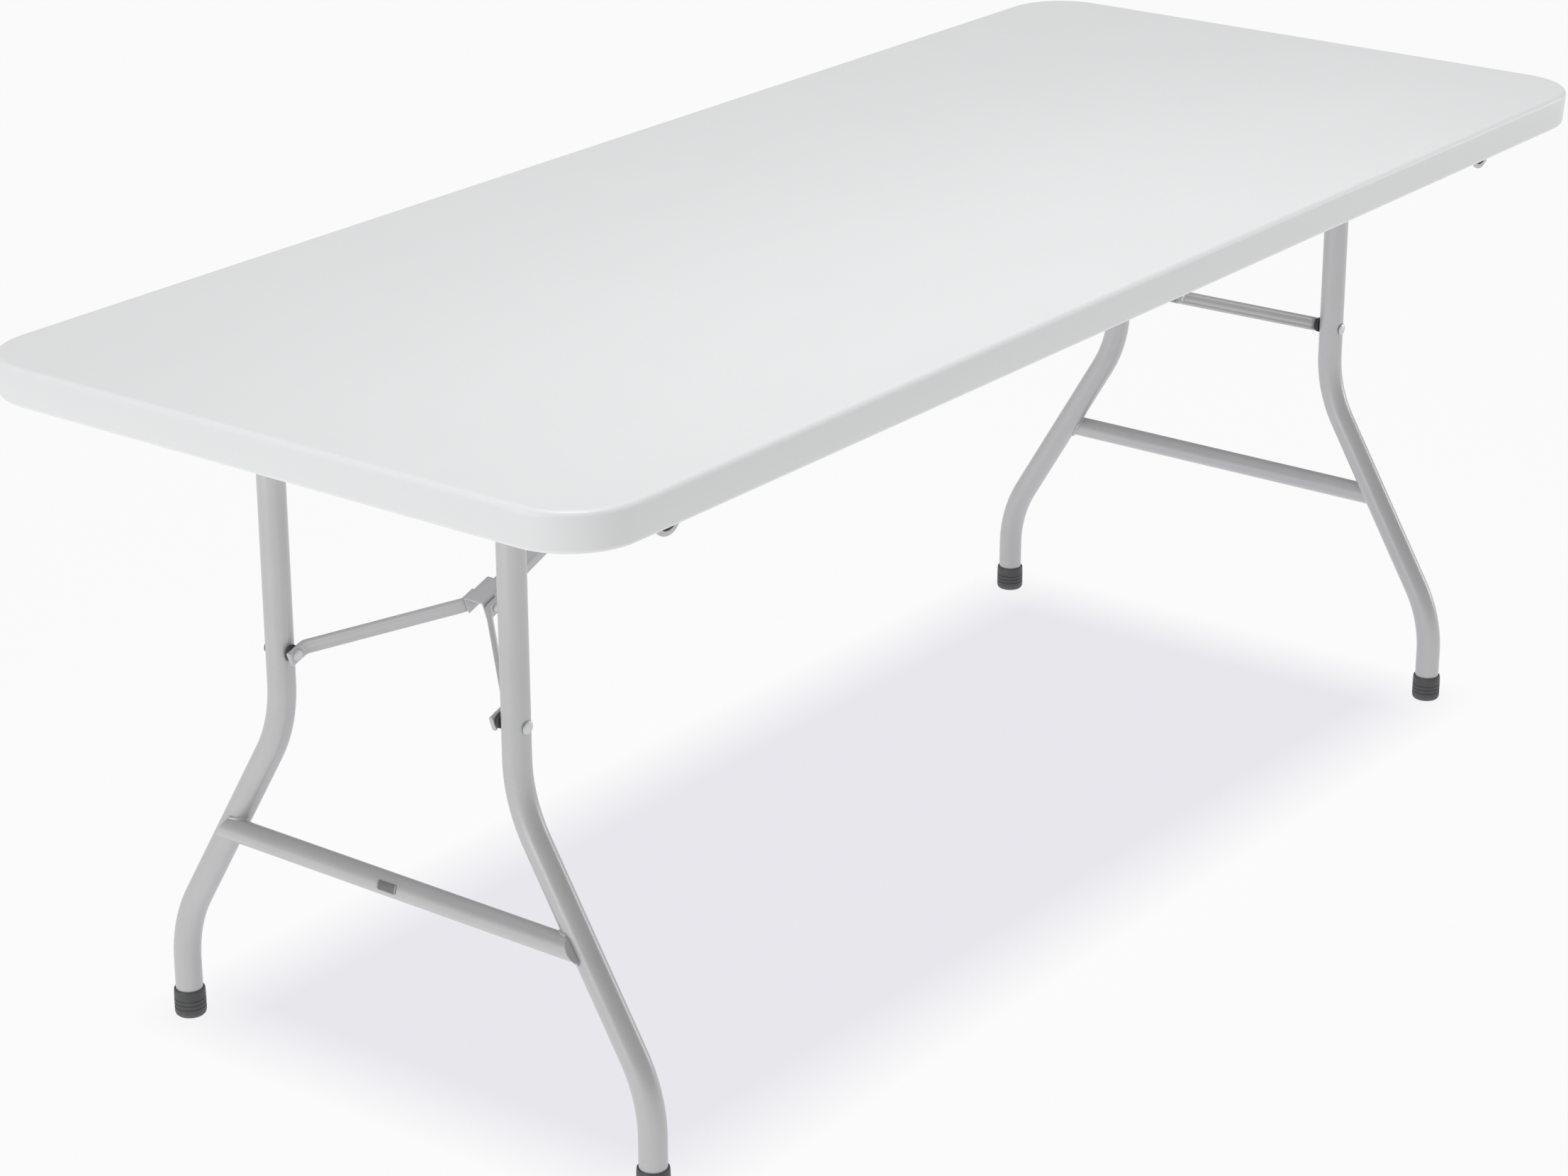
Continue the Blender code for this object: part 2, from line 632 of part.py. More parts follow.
def yoke(shape):
    """A short channel that joins the two struts and straddles the link, web on top."""
    outer = CHEEK_INNER_Y + CHEEK
    high = YOKE_WEB_LOW + YOKE_WEB
    outline = [(-outer, YOKE_LOW), (-outer, high), (outer, high), (outer, YOKE_LOW),
               (CHEEK_INNER_Y, YOKE_LOW), (CHEEK_INNER_Y, YOKE_WEB_LOW),
               (-CHEEK_INNER_Y, YOKE_WEB_LOW), (-CHEEK_INNER_Y, YOKE_LOW)]
    prism(shape, outline, along_x, YOKE_BACK, YOKE_FRONT)


def yoke_holes(shape):
    rod(shape, along_y, (0, 0), PIN_RADIUS + GAP, -PIN_HOLE_Y, PIN_HOLE_Y, 10)
    rod(shape, along_y, (STRUT_RIVET_X, 0), RIVET_RADIUS + GAP, -PIN_HOLE_Y, PIN_HOLE_Y, 8)


def strut(side):
    """A flat bar, bent so that its ends lie along the yoke's cheek and the leg's spacer."""
    def build(shape):
        route = [(STRUT_TAIL, STRUT_INNER_Y), (STRUT_FIRST_BEND, STRUT_INNER_Y),
                 (STRUT_LAST_BEND, STRUT_OUTER_Y), (-STRUT_LENGTH - STRUT_TIP, STRUT_OUTER_Y)]
        half = STRUT_THICKNESS / 2
        outline = offset_path(route, half) + offset_path(route, -half)[::-1]
        outline = [(x, side * y) for x, y in outline]
        prism(shape, outline, along_z, -STRUT_HALF_HEIGHT, STRUT_HALF_HEIGHT)
    return build


def strut_holes(side):
    def build(shape):
        for x, y, radius, sides in ((STRUT_RIVET_X, STRUT_INNER_Y, RIVET_RADIUS, 8),
                                    (-STRUT_LENGTH, STRUT_OUTER_Y, TIP_RIVET_RADIUS, 10)):
            rod(shape, along_y, (x, 0), radius + GAP, side * (y - STRUT_THICKNESS),
                side * (y + STRUT_THICKNESS), sides)
    return build


def yoke_rivet(side):
    """Holds a strut to the yoke; its inner end is flush, so that the link can pass."""
    def build(shape):
        outer = STRUT_INNER_Y + STRUT_THICKNESS / 2 + GAP
        profile = [(RIVET_RADIUS, CHEEK_INNER_Y), (RIVET_RADIUS, outer), (RIVET_HEAD_RADIUS, outer),
                   (RIVET_HEAD_RADIUS, outer + RIVET_HEAD / 2),
                   (RIVET_HEAD_RADIUS * 0.7, outer + RIVET_HEAD)]
        turned(shape, along_y, (STRUT_RIVET_X, 0), [(r, side * w) for r, w in profile], sides=12)
    return build


def tip_rivet(side):
    """Stands in the strut's tip, in line with the leg's rivet, and is headed on the inside."""
    def build(shape):
        inner = STRUT_OUTER_Y - STRUT_THICKNESS / 2 - GAP
        profile = [(TIP_RIVET_HEAD_RADIUS * 0.7, inner - RIVET_HEAD),
                   (TIP_RIVET_HEAD_RADIUS, inner - RIVET_HEAD / 2), (TIP_RIVET_HEAD_RADIUS, inner),
                   (TIP_RIVET_RADIUS, inner),
                   (TIP_RIVET_RADIUS, STRUT_OUTER_Y + STRUT_THICKNESS / 2)]
        turned(shape, along_y, (-STRUT_LENGTH, 0), [(r, side * w) for r, w in profile], sides=12)
    return build


# --- Assembly -------------------------------------------------------------------------------

def build_table():
    top = add_piece("tabletop", "white_plastic", table_top)
    combine(top, table_hollow, "DIFFERENCE")
    combine(top, table_vent, "DIFFERENCE")
    for side, place in ((-1, "front"), (1, "back")):
        rail = add_piece(f"side_rail_{place}", "grey_coating", side_rail(side))
        combine(rail, rail_holes(side), "DIFFERENCE")
    bar = add_piece("crossmember", "grey_coating", crossmember)
    combine(bar, lambda shape: screw_holes(shape, crossmember_screw_places()), "DIFFERENCE")


def build_end(end, half_turn):
    """Everything at one end; front and back change places at the end that is turned round."""
    frame = add_empty(f"end_{end}", (0, 0, 0), turn=half_turn)
    places = {-1: "back", 1: "front"} if half_turn else {-1: "front", 1: "back"}
    anchor, hinge, spacer, link_length = brace_points()
    leg_pivot = add_empty(f"leg_pivot_{end}", (-LEG_X, 0, PIVOT_Z), parent=frame)
    link_tilt = tilt_towards(anchor, hinge)
    link_pivot = add_empty(f"link_pivot_{end}", (anchor.x, 0, anchor.y), link_tilt, parent=frame)
    yoke_tilt = tilt_towards(hinge, spacer)
    yoke_pivot = add_empty(f"yoke_pivot_{end}", (hinge.x, 0, hinge.y), yoke_tilt, parent=frame)
    anchor_pivot = add_empty(f"anchor_{end}", (anchor.x, 0, anchor.y), parent=frame)

    for side, place in places.items():
        ear = add_piece(f"pivot_bracket_{end}_{place}", "grey_coating", pivot_bracket(side), frame)
        combine(ear, bracket_holes(side), "DIFFERENCE")
        add_piece(f"pivot_bush_{end}_{place}", "black_nylon", pivot_bush(side), frame)
        clip = add_piece(f"leg_clip_{end}_{place}", "black_nylon", leg_clip(side), frame)
        combine(clip, clip_holes(side), "DIFFERENCE")
        leg = add_piece(f"leg_tube_{end}_{place}", "grey_coating", leg_tube(side), leg_pivot)
        combine(leg, leg_cuts(side), "DIFFERENCE")
        add_piece(f"foot_cap_{end}_{place}", "dark_rubber", foot_cap(side), leg_pivot)
        add_piece(f"brace_spacer_{end}_{place}", "black_nylon", brace_spacer(side), leg_pivot)
        add_piece(f"leg_rivet_{end}_{place}", "zinc_plate", leg_rivet(side), leg_pivot)
        bar = add_piece(f"strut_{end}_{place}", "grey_coating", strut(side), yoke_pivot)
        combine(bar, strut_holes(side), "DIFFERENCE")
        add_piece(f"yoke_rivet_{end}_{place}", "zinc_plate", yoke_rivet(side), yoke_pivot)
        add_piece(f"strut_rivet_{end}_{place}", "zinc_plate", tip_rivet(side), yoke_pivot)

    bracket = add_piece(f"anchor_bracket_{end}", "zinc_plate", anchor_bracket, frame)
    combine(bracket, anchor_wings, "UNION")
    combine(bracket, anchor_holes, "DIFFERENCE")
    add_piece(f"anchor_pin_{end}", "zinc_plate", brace_pin, anchor_pivot)
    add_piece(f"pivot_tube_{end}", "grey_coating", pivot_tube, leg_pivot)
    bar = add_piece(f"crossbar_{end}", "grey_coating", crossbar, leg_pivot)
    combine(bar, crossbar_cuts, "DIFFERENCE")
    if not half_turn:
        add_piece("blank_label", "dark_label", blank_label, leg_pivot)
    channel = add_piece(f"link_{end}", "grey_coating", link(link_length), link_pivot)
    combine(channel, link_holes(link_length), "DIFFERENCE")
    clevis = add_piece(f"yoke_{end}", "grey_coating", yoke, yoke_pivot)
    combine(clevis, yoke_holes, "DIFFERENCE")
    add_piece(f"hinge_pin_{end}", "zinc_plate", brace_pin, yoke_pivot)


def main():
    for old in list(bpy.data.objects):
        bpy.data.objects.remove(old, do_unlink=True)
    build_table()
    build_end("left", 0.0)
    build_end("right", math.pi)


main()
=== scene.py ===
"""The finished look of a folding picnic table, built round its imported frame."""
import json
import math

import bmesh
import bpy
from bpy.props import FloatProperty, FloatVectorProperty, IntProperty, PointerProperty
from mathutils import Matrix, Quaternion, Vector


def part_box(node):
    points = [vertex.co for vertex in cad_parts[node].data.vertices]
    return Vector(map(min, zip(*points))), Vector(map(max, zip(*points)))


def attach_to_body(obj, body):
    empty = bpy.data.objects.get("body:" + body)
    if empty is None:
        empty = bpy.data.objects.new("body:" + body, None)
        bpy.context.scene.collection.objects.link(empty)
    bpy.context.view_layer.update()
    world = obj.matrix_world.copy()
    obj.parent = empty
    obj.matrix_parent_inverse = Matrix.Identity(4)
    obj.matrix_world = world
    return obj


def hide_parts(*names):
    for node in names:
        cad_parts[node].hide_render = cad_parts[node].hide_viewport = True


bl_info = {
    "name": "Folding picnic table",
    "version": (1, 0, 0),
    "blender": (4, 5, 0),
    "location": "3D View > Sidebar > Table",
    "description": "Builds the moulded top, folding leg frames, braces and fasteners "
                   "of a picnic table",
    "category": "Object",
}

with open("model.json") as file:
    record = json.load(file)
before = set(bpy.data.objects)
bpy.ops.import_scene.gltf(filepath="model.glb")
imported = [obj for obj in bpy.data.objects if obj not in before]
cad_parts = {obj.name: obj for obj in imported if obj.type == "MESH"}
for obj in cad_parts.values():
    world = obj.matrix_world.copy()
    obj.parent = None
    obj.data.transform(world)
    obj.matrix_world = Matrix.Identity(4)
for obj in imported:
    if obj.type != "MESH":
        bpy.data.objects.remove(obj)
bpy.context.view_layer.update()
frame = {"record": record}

# --- Where the frame says that things are ---------------------------------------------------

ENDS = ("left", "right")
SIDES = (-1, 1)
PLACES = ("front", "back")
QUARTERS = ((1, 1), (-1, 1), (-1, -1), (1, -1))
JOINT_POINTS = {joint["name"]: Vector(joint["pos_m"])
                for joint in frame["record"]["behaviour"]["joints"]}
HALF_TURN = Matrix.Rotation(math.pi, 4, "Z")
GAP = 0.0003


def low(node):
    return Vector(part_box(node)[0])


def high(node):
    return Vector(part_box(node)[1])


def middle(node):
    return (low(node) + high(node)) / 2


def size(node):
    return high(node) - low(node)


# Table top
TOP_LOW, TOP_HIGH = low("tabletop"), high("tabletop")
LENGTH, WIDTH, RIM_DEPTH = TOP_HIGH - TOP_LOW
HEIGHT = TOP_HIGH.z
CORNER_RADIUS = 0.075
RIM_WIDTH = 0.025
RIM_DRAFT = 0.002
RIM_BEVEL = 0.0035
PANEL_FILLET = 0.005
TACK_MARGIN = 0.008
TACK_LIP = 0.0012
CORNER_STEPS = 14
PANEL_UNDER = high("crossmember").z + GAP
MOUNTING = high("crossmember").z

# Leg frames, from their pivots
LEG_PIVOT = JOINT_POINTS["leg_left_fold"]
LEG_X = -LEG_PIVOT.x
PIVOT_Z = LEG_PIVOT.z
LEG_RADIUS = size("leg_tube_left_front").x / 2
LEG_TOP_Y = -high("leg_tube_left_front").y + LEG_RADIUS
LEG_FOOT_Y = -low("leg_tube_left_front").y - LEG_RADIUS
LEG_FOOT_Z = low("leg_tube_left_front").z
UPPER_BEND_Z = 0.364
LOWER_BEND_Z = 0.103
BEND_RADIUS = 0.155
TUBE_WALL = 0.0012
PIVOT_TUBE_RADIUS = size("pivot_tube_left").z / 2
PIVOT_TUBE_END_Y = high("pivot_tube_left").y
CROSSBAR_RADIUS = size("crossbar_left").z / 2
CROSSBAR_Z = middle("crossbar_left").z
CROSSBAR_X = middle("crossbar_left").x + LEG_X
CAP_RADIUS = size("foot_cap_left_front").x / 2
CAP_HEIGHT = size("foot_cap_left_front").z
CAP_FLOOR = 0.004
CAP_FOOT = ((0.0034, 0.0), (0.0020, 0.0004), (0.0008, 0.0016), (0.0002, 0.0034), (0.0, 0.0052))
CAP_GROOVES = (0.0100, 0.0145, 0.0190)
CAP_GROOVE_DEPTH = 0.0006
SPACER_Z = middle("brace_spacer_left_front").z
SPACER_RADIUS = size("brace_spacer_left_front").z / 2
SPACER_INNER_Y = low("brace_spacer_left_back").y
SPACER_OUTER_Y = high("brace_spacer_left_back").y
LEG_RIVET_RADIUS = 0.004
LEG_RIVET_HEAD_RADIUS = size("leg_rivet_left_front").x / 2
LEG_RIVET_END_Y = high("leg_rivet_left_back").y
LEG_RIVET_START_Y = low("leg_rivet_left_back").y
LABEL_MIDDLE_Y = middle("blank_label").y
LABEL_LENGTH = size("blank_label").y

# Under-frame
SHEET = 0.0015
RAIL_CORNER = 0.003
CROSSMEMBER_CORNER = 0.0035
EAR_CORNER = 0.004
RAIL_FLANGE_Y = low("side_rail_back").y
RAIL_OUTER_Y = high("side_rail_back").y
RAIL_LOW_Z = low("side_rail_back").z
RAIL_END_X = high("side_rail_back").x
EAR_INNER_Y = low("pivot_bracket_left_back").y
EAR_OUTER_Y = high("pivot_bracket_left_back").y
EAR_RADIUS = PIVOT_Z - low("pivot_bracket_left_back").z
EAR_HALF_WIDTH = size("pivot_bracket_left_back").x / 2
EAR_TOP_Z = high("pivot_bracket_left_back").z
EAR_SHOULDER_Z = 0.703
EAR_RIVET_X = 0.024
EAR_RIVET_Z = 0.711
BUSH_FLANGE_RADIUS = size("pivot_bush_left_back").z / 2
BUSH_INNER_Y = low("pivot_bush_left_back").y
BUSH_RADIUS = 0.0148
RAIL_SCREWS = 6
RAIL_SCREW_MARGINS = 0.10
SCREW_HOLE_RADIUS = 0.0023
SCREW_HOLE_DEPTH = 0.006
DRILL_OVERRUN = 0.002
CROSSMEMBER_SCREW_YS = (-0.285, -0.10, 0.10, 0.285)

# Braces: the link is measured from its anchor pin, the struts from their hinge pin
ANCHOR = JOINT_POINTS["link_left_hinge"]
HINGE = JOINT_POINTS["struts_left_hinge"]
SPACER_POINT = Vector((-LEG_X, 0, SPACER_Z))
LINK_LENGTH = (HINGE - ANCHOR).length
STRUT_LENGTH = (SPACER_POINT - HINGE).length
LINK_HALF_WIDTH = size("link_left").y / 2
LINK_HALF_HEIGHT = 0.005
LINK_OVERHANG = 0.007
LINK_CORNER = 0.0028
CHEEK_INNER_Y = 0.0105
CHEEK_OUTER_Y = size("yoke_left").y / 2
YOKE_HIGH = 0.011
YOKE_LOW = -0.008
YOKE_BACK = -0.026
YOKE_FRONT = 0.010
YOKE_CORNER = 0.0032
STRUT_THICKNESS = 0.005
STRUT_HALF_HEIGHT = 0.008
STRUT_INNER_Y = 0.0153
STRUT_OUTER_Y = 0.1285
STRUT_TAIL = -0.0085
STRUT_FIRST_BEND = -0.0245
STRUT_LAST_BEND = -0.137
STRUT_TIP = 0.009
STRUT_RIVET_X = -0.016
STRUT_GROOVE = 0.0006
STRUT_BEND_RADIUS = 0.008
STRUT_BEND_STEPS = 8
RIVET_RADIUS = 0.0025
RIVET_HEAD_RADIUS = 0.0045
RIVET_HEAD = 0.0016
TIP_RIVET_RADIUS = 0.0032
TIP_RIVET_HEAD_RADIUS = 0.0065
PIN_RADIUS = 0.003
PIN_HEAD_RADIUS = 0.005
PIN_HEAD = 0.0015
PIN_DRILL_Y = 0.03
ANCHOR_HALF_LENGTH = size("anchor_bracket_left").x / 2
ANCHOR_WING_Y = high("anchor_bracket_left").y
ANCHOR_LOW_Z = low("anchor_bracket_left").z
ANCHOR_SCREW_Y = 0.023

# Leg clips
CLIP_X = middle("leg_clip_left_back").x
CLIP_Y = middle("leg_clip_left_back").y
CLIP_LENGTH = size("leg_clip_left_back").y
CLIP_LOW_Z = low("leg_clip_left_back").z
CLIP_WING = size("leg_clip_left_back").x / 2
CLIP_OPENING = 0.0128
CLIP_WALL = 0.0025
CLIP_BASE = 0.003
CLIP_SCREW_X = 0.021
CLIP_FILLET = 0.0015

# Screws and bracket rivets
SCREW_HEAD_RADIUS = 0.0042
SCREW_HEAD_EDGE = 0.0004
SCREW_HEAD_RISE = 0.0015
THREAD_CREST = 0.0020
THREAD_ROOT = 0.0017
THREAD_PITCH = 0.0004
THREAD_TURNS = 6
RECESS_HALF_LENGTH = 0.0024
RECESS_HALF_WIDTH = 0.00045
BRACKET_RIVET_HEAD = 0.0014

# Seeds of the weld beads' ripple, to which the side is added
CROSSBAR_BEAD_SEED = 7
PIVOT_BEAD_SEED = 11


# --- What a user would change ---------------------------------------------------------------

class TableShape(bpy.types.PropertyGroup):
    top_edge: FloatProperty(
        name="Top edge", description="Radius of the rounded edge round the top face",
        default=0.006, min=0.002, max=0.012, unit="LENGTH")
    rim_edge: FloatProperty(
        name="Rim edge", description="Radius of the rounded edge under the rim",
        default=0.005, min=0.002, max=0.010, unit="LENGTH")
    tack_pitch: FloatProperty(
        name="Tack-off pitch", description="Spacing of the dimples that join the two skins",
        default=0.058, min=0.04, max=0.10, unit="LENGTH")
    tack_radius: FloatProperty(
        name="Tack-off radius", description="Radius of a dimple at its mouth",
        default=0.012, min=0.005, max=0.018, unit="LENGTH")
    tack_depth: FloatProperty(
        name="Tack-off depth", description="Depth of a dimple in the underside",
        default=0.010, min=0.003, max=0.014, unit="LENGTH")
    tube_sides: IntProperty(
        name="Tube sides", description="Faces round a leg tube", default=40, min=16, max=64)
    weld_radius: FloatProperty(
        name="Weld bead", description="Radius of the weld beads at the tube joints",
        default=0.0022, min=0.001, max=0.004, unit="LENGTH")


class TableFinish(bpy.types.PropertyGroup):
    top_colour: FloatVectorProperty(
        name="Top", description="Moulded plastic of the table top", subtype="COLOR",
        default=(0.80, 0.805, 0.812), min=0, max=1)
    coat_colour: FloatVectorProperty(
        name="Frame", description="Powder coat of the steel frame", subtype="COLOR",
        default=(0.54, 0.54, 0.545), min=0, max=1)
    zinc_colour: FloatVectorProperty(
        name="Zinc", description="Plated pins, rivets and screws", subtype="COLOR",
        default=(0.62, 0.63, 0.64), min=0, max=1)
    cap_colour: FloatVectorProperty(
        name="Foot caps", description="Moulded foot caps", subtype="COLOR",
        default=(0.070, 0.071, 0.073), min=0, max=1)
    nylon_colour: FloatVectorProperty(
        name="Nylon", description="Spacers, bushes and clips", subtype="COLOR",
        default=(0.022, 0.022, 0.024), min=0, max=1)
    label_colour: FloatVectorProperty(
        name="Label", description="Blank plate on the crossbar", subtype="COLOR",
        default=(0.17, 0.17, 0.175), min=0, max=1)
    floor_colour: FloatVectorProperty(
        name="Floor", description="Plain studio floor", subtype="COLOR",
        default=(0.90, 0.90, 0.90), min=0, max=1)


# --- Shader maths ---------------------------------------------------------------------------

class Signal:
    """A shader socket that can be added, multiplied and compared like a number."""

    def __init__(self, finish, socket):
        self.finish = finish
        self.socket = socket

    def maths(self, operation, first, second=None):
        inputs = {0: first} if second is None else {0: first, 1: second}
        return self.finish.add("ShaderNodeMath", {"operation": operation}, inputs)

    def __add__(self, other):
        return self.maths("ADD", self, other)

    __radd__ = __add__

    def __sub__(self, other):
        return self.maths("SUBTRACT", self, other)

    def __rsub__(self, other):
        return self.maths("SUBTRACT", other, self)

    def __mul__(self, other):
        return self.maths("MULTIPLY", self, other)

    __rmul__ = __mul__

    def __abs__(self):
        return self.maths("ABSOLUTE", self)

    def __gt__(self, other):
        return self.maths("GREATER_THAN", self, other)


CONSTANT_SOCKETS = {"ior": "IOR", "metallic": "Metallic", "specular": "Specular IOR Level",
                    "coat": "Coat Weight", "coat_roughness": "Coat Roughness"}


class Finish:
    """A Principled material that is being put together."""

    def __init__(self, name):
        self.material = bpy.data.materials.new(name)
        self.material.use_nodes = True
        self.tree = self.material.node_tree
        self.shader = self.tree.nodes["Principled BSDF"]
        self.place = self.add("ShaderNodeTexCoord", output="Object")

    def add(self, kind, settings=None, inputs=None, output=0):
        """Any node: its settings first, then the values or links of its sockets."""
        node = self.tree.nodes.new(kind)
        for name, value in (settings or {}).items():
            if name == "stops":
                while len(node.color_ramp.elements) < len(value):
                    node.color_ramp.elements.new(1.0)
                for element, (position, grey) in zip(node.color_ramp.elements, value):
                    element.position = position
                    element.color = (grey, grey, grey, 1.0)
            else:
                setattr(node, name, value)
        for name, value in (inputs or {}).items():
            self.connect(node.inputs[name], value)
        return Signal(self, node.outputs[output])

    def connect(self, socket, value):
        if isinstance(value, Signal):
            self.tree.links.new(value.socket, socket)
        elif hasattr(value, "__len__") and len(value) == 3 and socket.type == "RGBA":
            socket.default_value = (*value, 1.0)
        else:
            socket.default_value = value

    def noise(self, scale, detail=2.0, roughness=0.5, distortion=0.0, place=None):
        inputs = {"Vector": place or self.place, "Scale": scale, "Detail": detail,
                  "Roughness": roughness, "Distortion": distortion}
        return self.add("ShaderNodeTexNoise", inputs=inputs, output="Fac")

    def cells(self, scale):
        inputs = {"Vector": self.place, "Scale": scale}
        return self.add("ShaderNodeTexVoronoi", {"feature": "SMOOTH_F1"}, inputs, "Distance")

    def ramp(self, value, *stops):
        return self.add("ShaderNodeValToRGB", {"stops": stops}, {"Fac": value}, "Color")

    def mix(self, factor, first, second):
        """Between two colours."""
        inputs = {0: factor, 6: first, 7: second}
        return self.add("ShaderNodeMix", {"data_type": "RGBA"}, inputs, 2)

    def stretched(self, scale, turn=(0, 0, 0)):
        return self.add("ShaderNodeMapping", {"vector_type": "POINT"},
                        {"Vector": self.place, "Rotation": turn, "Scale": scale}, "Vector")

    def axis(self, name):
        return self.add("ShaderNodeSeparateXYZ", inputs={"Vector": self.place}, output=name)

    def bump(self, height, distance, strength=1.0, normal=None):
        inputs = {"Height": height, "Distance": distance, "Strength": strength}
        if normal:
            inputs["Normal"] = normal
        return self.add("ShaderNodeBump", inputs=inputs, output="Normal")

    def surface(self, colour, roughness, normal=None, **constants):
        """Ends the material; constants are set on the shader's own sockets."""
        self.connect(self.shader.inputs["Base Color"], colour)
        self.connect(self.shader.inputs["Roughness"], roughness)
        if normal:
            self.connect(self.shader.inputs["Normal"], normal)
        for name, value in constants.items():
            self.shader.inputs[CONSTANT_SOCKETS[name]].default_value = value
        return self.material


def shade(colour, amount):
    """A colour made lighter or darker."""
    return tuple(min(1.0, max(0.0, part * amount)) for part in colour)


TOP_SKIN = 0.0008


def moulded_polyethylene(colour):
    """White blow-moulded plastic: pebbled on top, smoother down the rim and underneath."""
    finish = Finish("moulded_polyethylene")
    upper = finish.axis("Z") > HEIGHT - TOP_SKIN
    pebbles = finish.cells(520) + 0.5 * finish.noise(900, 2)
    haze = finish.noise(9, 3)
    flow = finish.noise(2.2, 4, 0.55, 0.4, finish.stretched((0.4, 1.6, 1.0)))
    scuff = finish.noise(60, 6, 0.7, 1.5, finish.stretched((1.0, 0.12, 1.0), (0, 0, 0.6)))
    marks = finish.ramp(scuff, (0.60, 0.0), (0.70, 1.0))
    sinks = finish.noise(17, 1, 0.5, 0.0)
    tint = finish.mix(flow, shade(colour, 0.985), shade(colour, 1.012))
    tint = finish.mix(finish.ramp(finish.noise(240, 2), (0.66, 0.0), (0.80, 1.0)) * 0.5, tint,
                      shade(colour, 0.93))
    tint = finish.mix(marks * 0.18, tint, shade(colour, 0.955))
    rough = 0.34 + upper * 0.12 + haze * 0.10 + marks * 0.06
    grain = finish.bump(pebbles * (0.25 + 0.75 * upper), distance=0.00022, strength=0.55)
    normal = finish.bump(sinks, distance=0.0012, strength=0.25, normal=grain)
    return finish.surface(tint, rough, normal, ior=1.5)


def powder_coat(colour):
    """Baked powder on steel: orange peel, a little dust, and rubbed spots."""
    finish = Finish("powder_coat")
    peel = finish.noise(420, 3, 0.55)
    broad = finish.noise(14, 4, 0.6)
    speck = finish.ramp(finish.noise(1500, 1), (0.62, 0.0), (0.74, 1.0))
    rub = finish.ramp(finish.noise(38, 6, 0.75, 0.8), (0.66, 0.0), (0.74, 1.0))
    tint = finish.mix(broad, shade(colour, 0.93), shade(colour, 1.06))
    tint = finish.mix(speck * 0.35, tint, shade(colour, 1.35))
    tint = finish.mix(rub * 0.25, tint, shade(colour, 0.78))
    rough = 0.26 + broad * 0.10 + rub * 0.12
    normal = finish.bump(peel, distance=0.00010, strength=0.5)
    return finish.surface(tint, rough, normal, metallic=0.25)


def zinc_plate(colour):
    """Bright zinc on small steel parts: cloudy, with a drawn grain."""
    finish = Finish("zinc_plate")
    cloud = finish.noise(160, 4, 0.6, 0.5)
    drawn = finish.noise(700, 3, 0.6, 0.0, finish.stretched((1.0, 0.1, 1.0)))
    stain = finish.ramp(finish.noise(70, 5, 0.7), (0.58, 0.0), (0.72, 1.0))
    tint = finish.mix(cloud, shade(colour, 0.82), shade(colour, 1.12))
    tint = finish.mix(stain * 0.4, tint, (colour[0] * 0.78, colour[1] * 0.74, colour[2] * 0.66))
    rough = 0.24 + cloud * 0.16 + drawn * 0.10 + stain * 0.10
    grain = finish.bump(drawn, distance=0.00006, strength=0.5)
    return finish.surface(tint, rough, grain, metallic=0.9)


def cap_rubber(colour):
    """Charcoal foot caps: matt, scuffed and dusty towards the floor."""
    finish = Finish("cap_rubber")
    grain = finish.cells(1100) + 0.6 * finish.noise(600, 3)
    wear = finish.ramp(finish.noise(120, 5, 0.7, 0.6), (0.52, 0.0), (0.68, 1.0))
    foot = finish.ramp(finish.axis("Z") * 60 + finish.noise(90, 3) * 0.5, (0.25, 1.0), (0.75, 0.0))
    tint = finish.mix(finish.noise(30, 3), shade(colour, 0.85), shade(colour, 1.25))
    tint = finish.mix(wear * 0.22, tint, shade(colour, 2.2))
    tint = finish.mix(foot * 0.35, tint, shade(colour, 2.8))
    rough = 0.52 + wear * 0.16 + foot * 0.12
    return finish.surface(tint, rough, finish.bump(grain, distance=0.00012, strength=0.6))


def black_nylon(colour):
    """Moulded nylon: satin, with fine flow lines."""
    finish = Finish("black_nylon")
    flow = finish.noise(320, 3, 0.6, 1.0, finish.stretched((1.0, 0.3, 1.0)))
    rub = finish.ramp(finish.noise(150, 5, 0.7), (0.56, 0.0), (0.70, 1.0))
    tint = finish.mix(flow, shade(colour, 0.8), shade(colour, 1.5))
    tint = finish.mix(rub * 0.3, tint, shade(colour, 3.0))
    rough = 0.36 + flow * 0.12 + rub * 0.15
    return finish.surface(tint, rough, finish.bump(flow, distance=0.00008, strength=0.5))


def blank_plate(colour):
    """A dark plate with a paler border and nothing on it."""
    finish = Finish("blank_plate")
    across = abs(finish.axis("Y") - LABEL_MIDDLE_Y)
    border = finish.ramp(across * (2 / LABEL_LENGTH), (0.84, 0.0), (0.90, 1.0))
    fleck = finish.noise(900, 3)
    tint = finish.mix(fleck, shade(colour, 0.8), shade(colour, 1.3))
    tint = finish.mix(border * 0.6, tint, shade(colour, 3.2))
    rough = 0.34 + fleck * 0.14
    return finish.surface(tint, rough, finish.bump(fleck, distance=0.00005, strength=0.4))


# Painted shadow on the floor: the soft edge's half width and the dimmed glow's colour
PAINTED_SHADOW_FADE = 0.06
PAINTED_SHADOW_TONE = (0.818, 0.807, 0.857)
FLOOR_GLOW = 1.107
GLOW_SHARE = 0.80


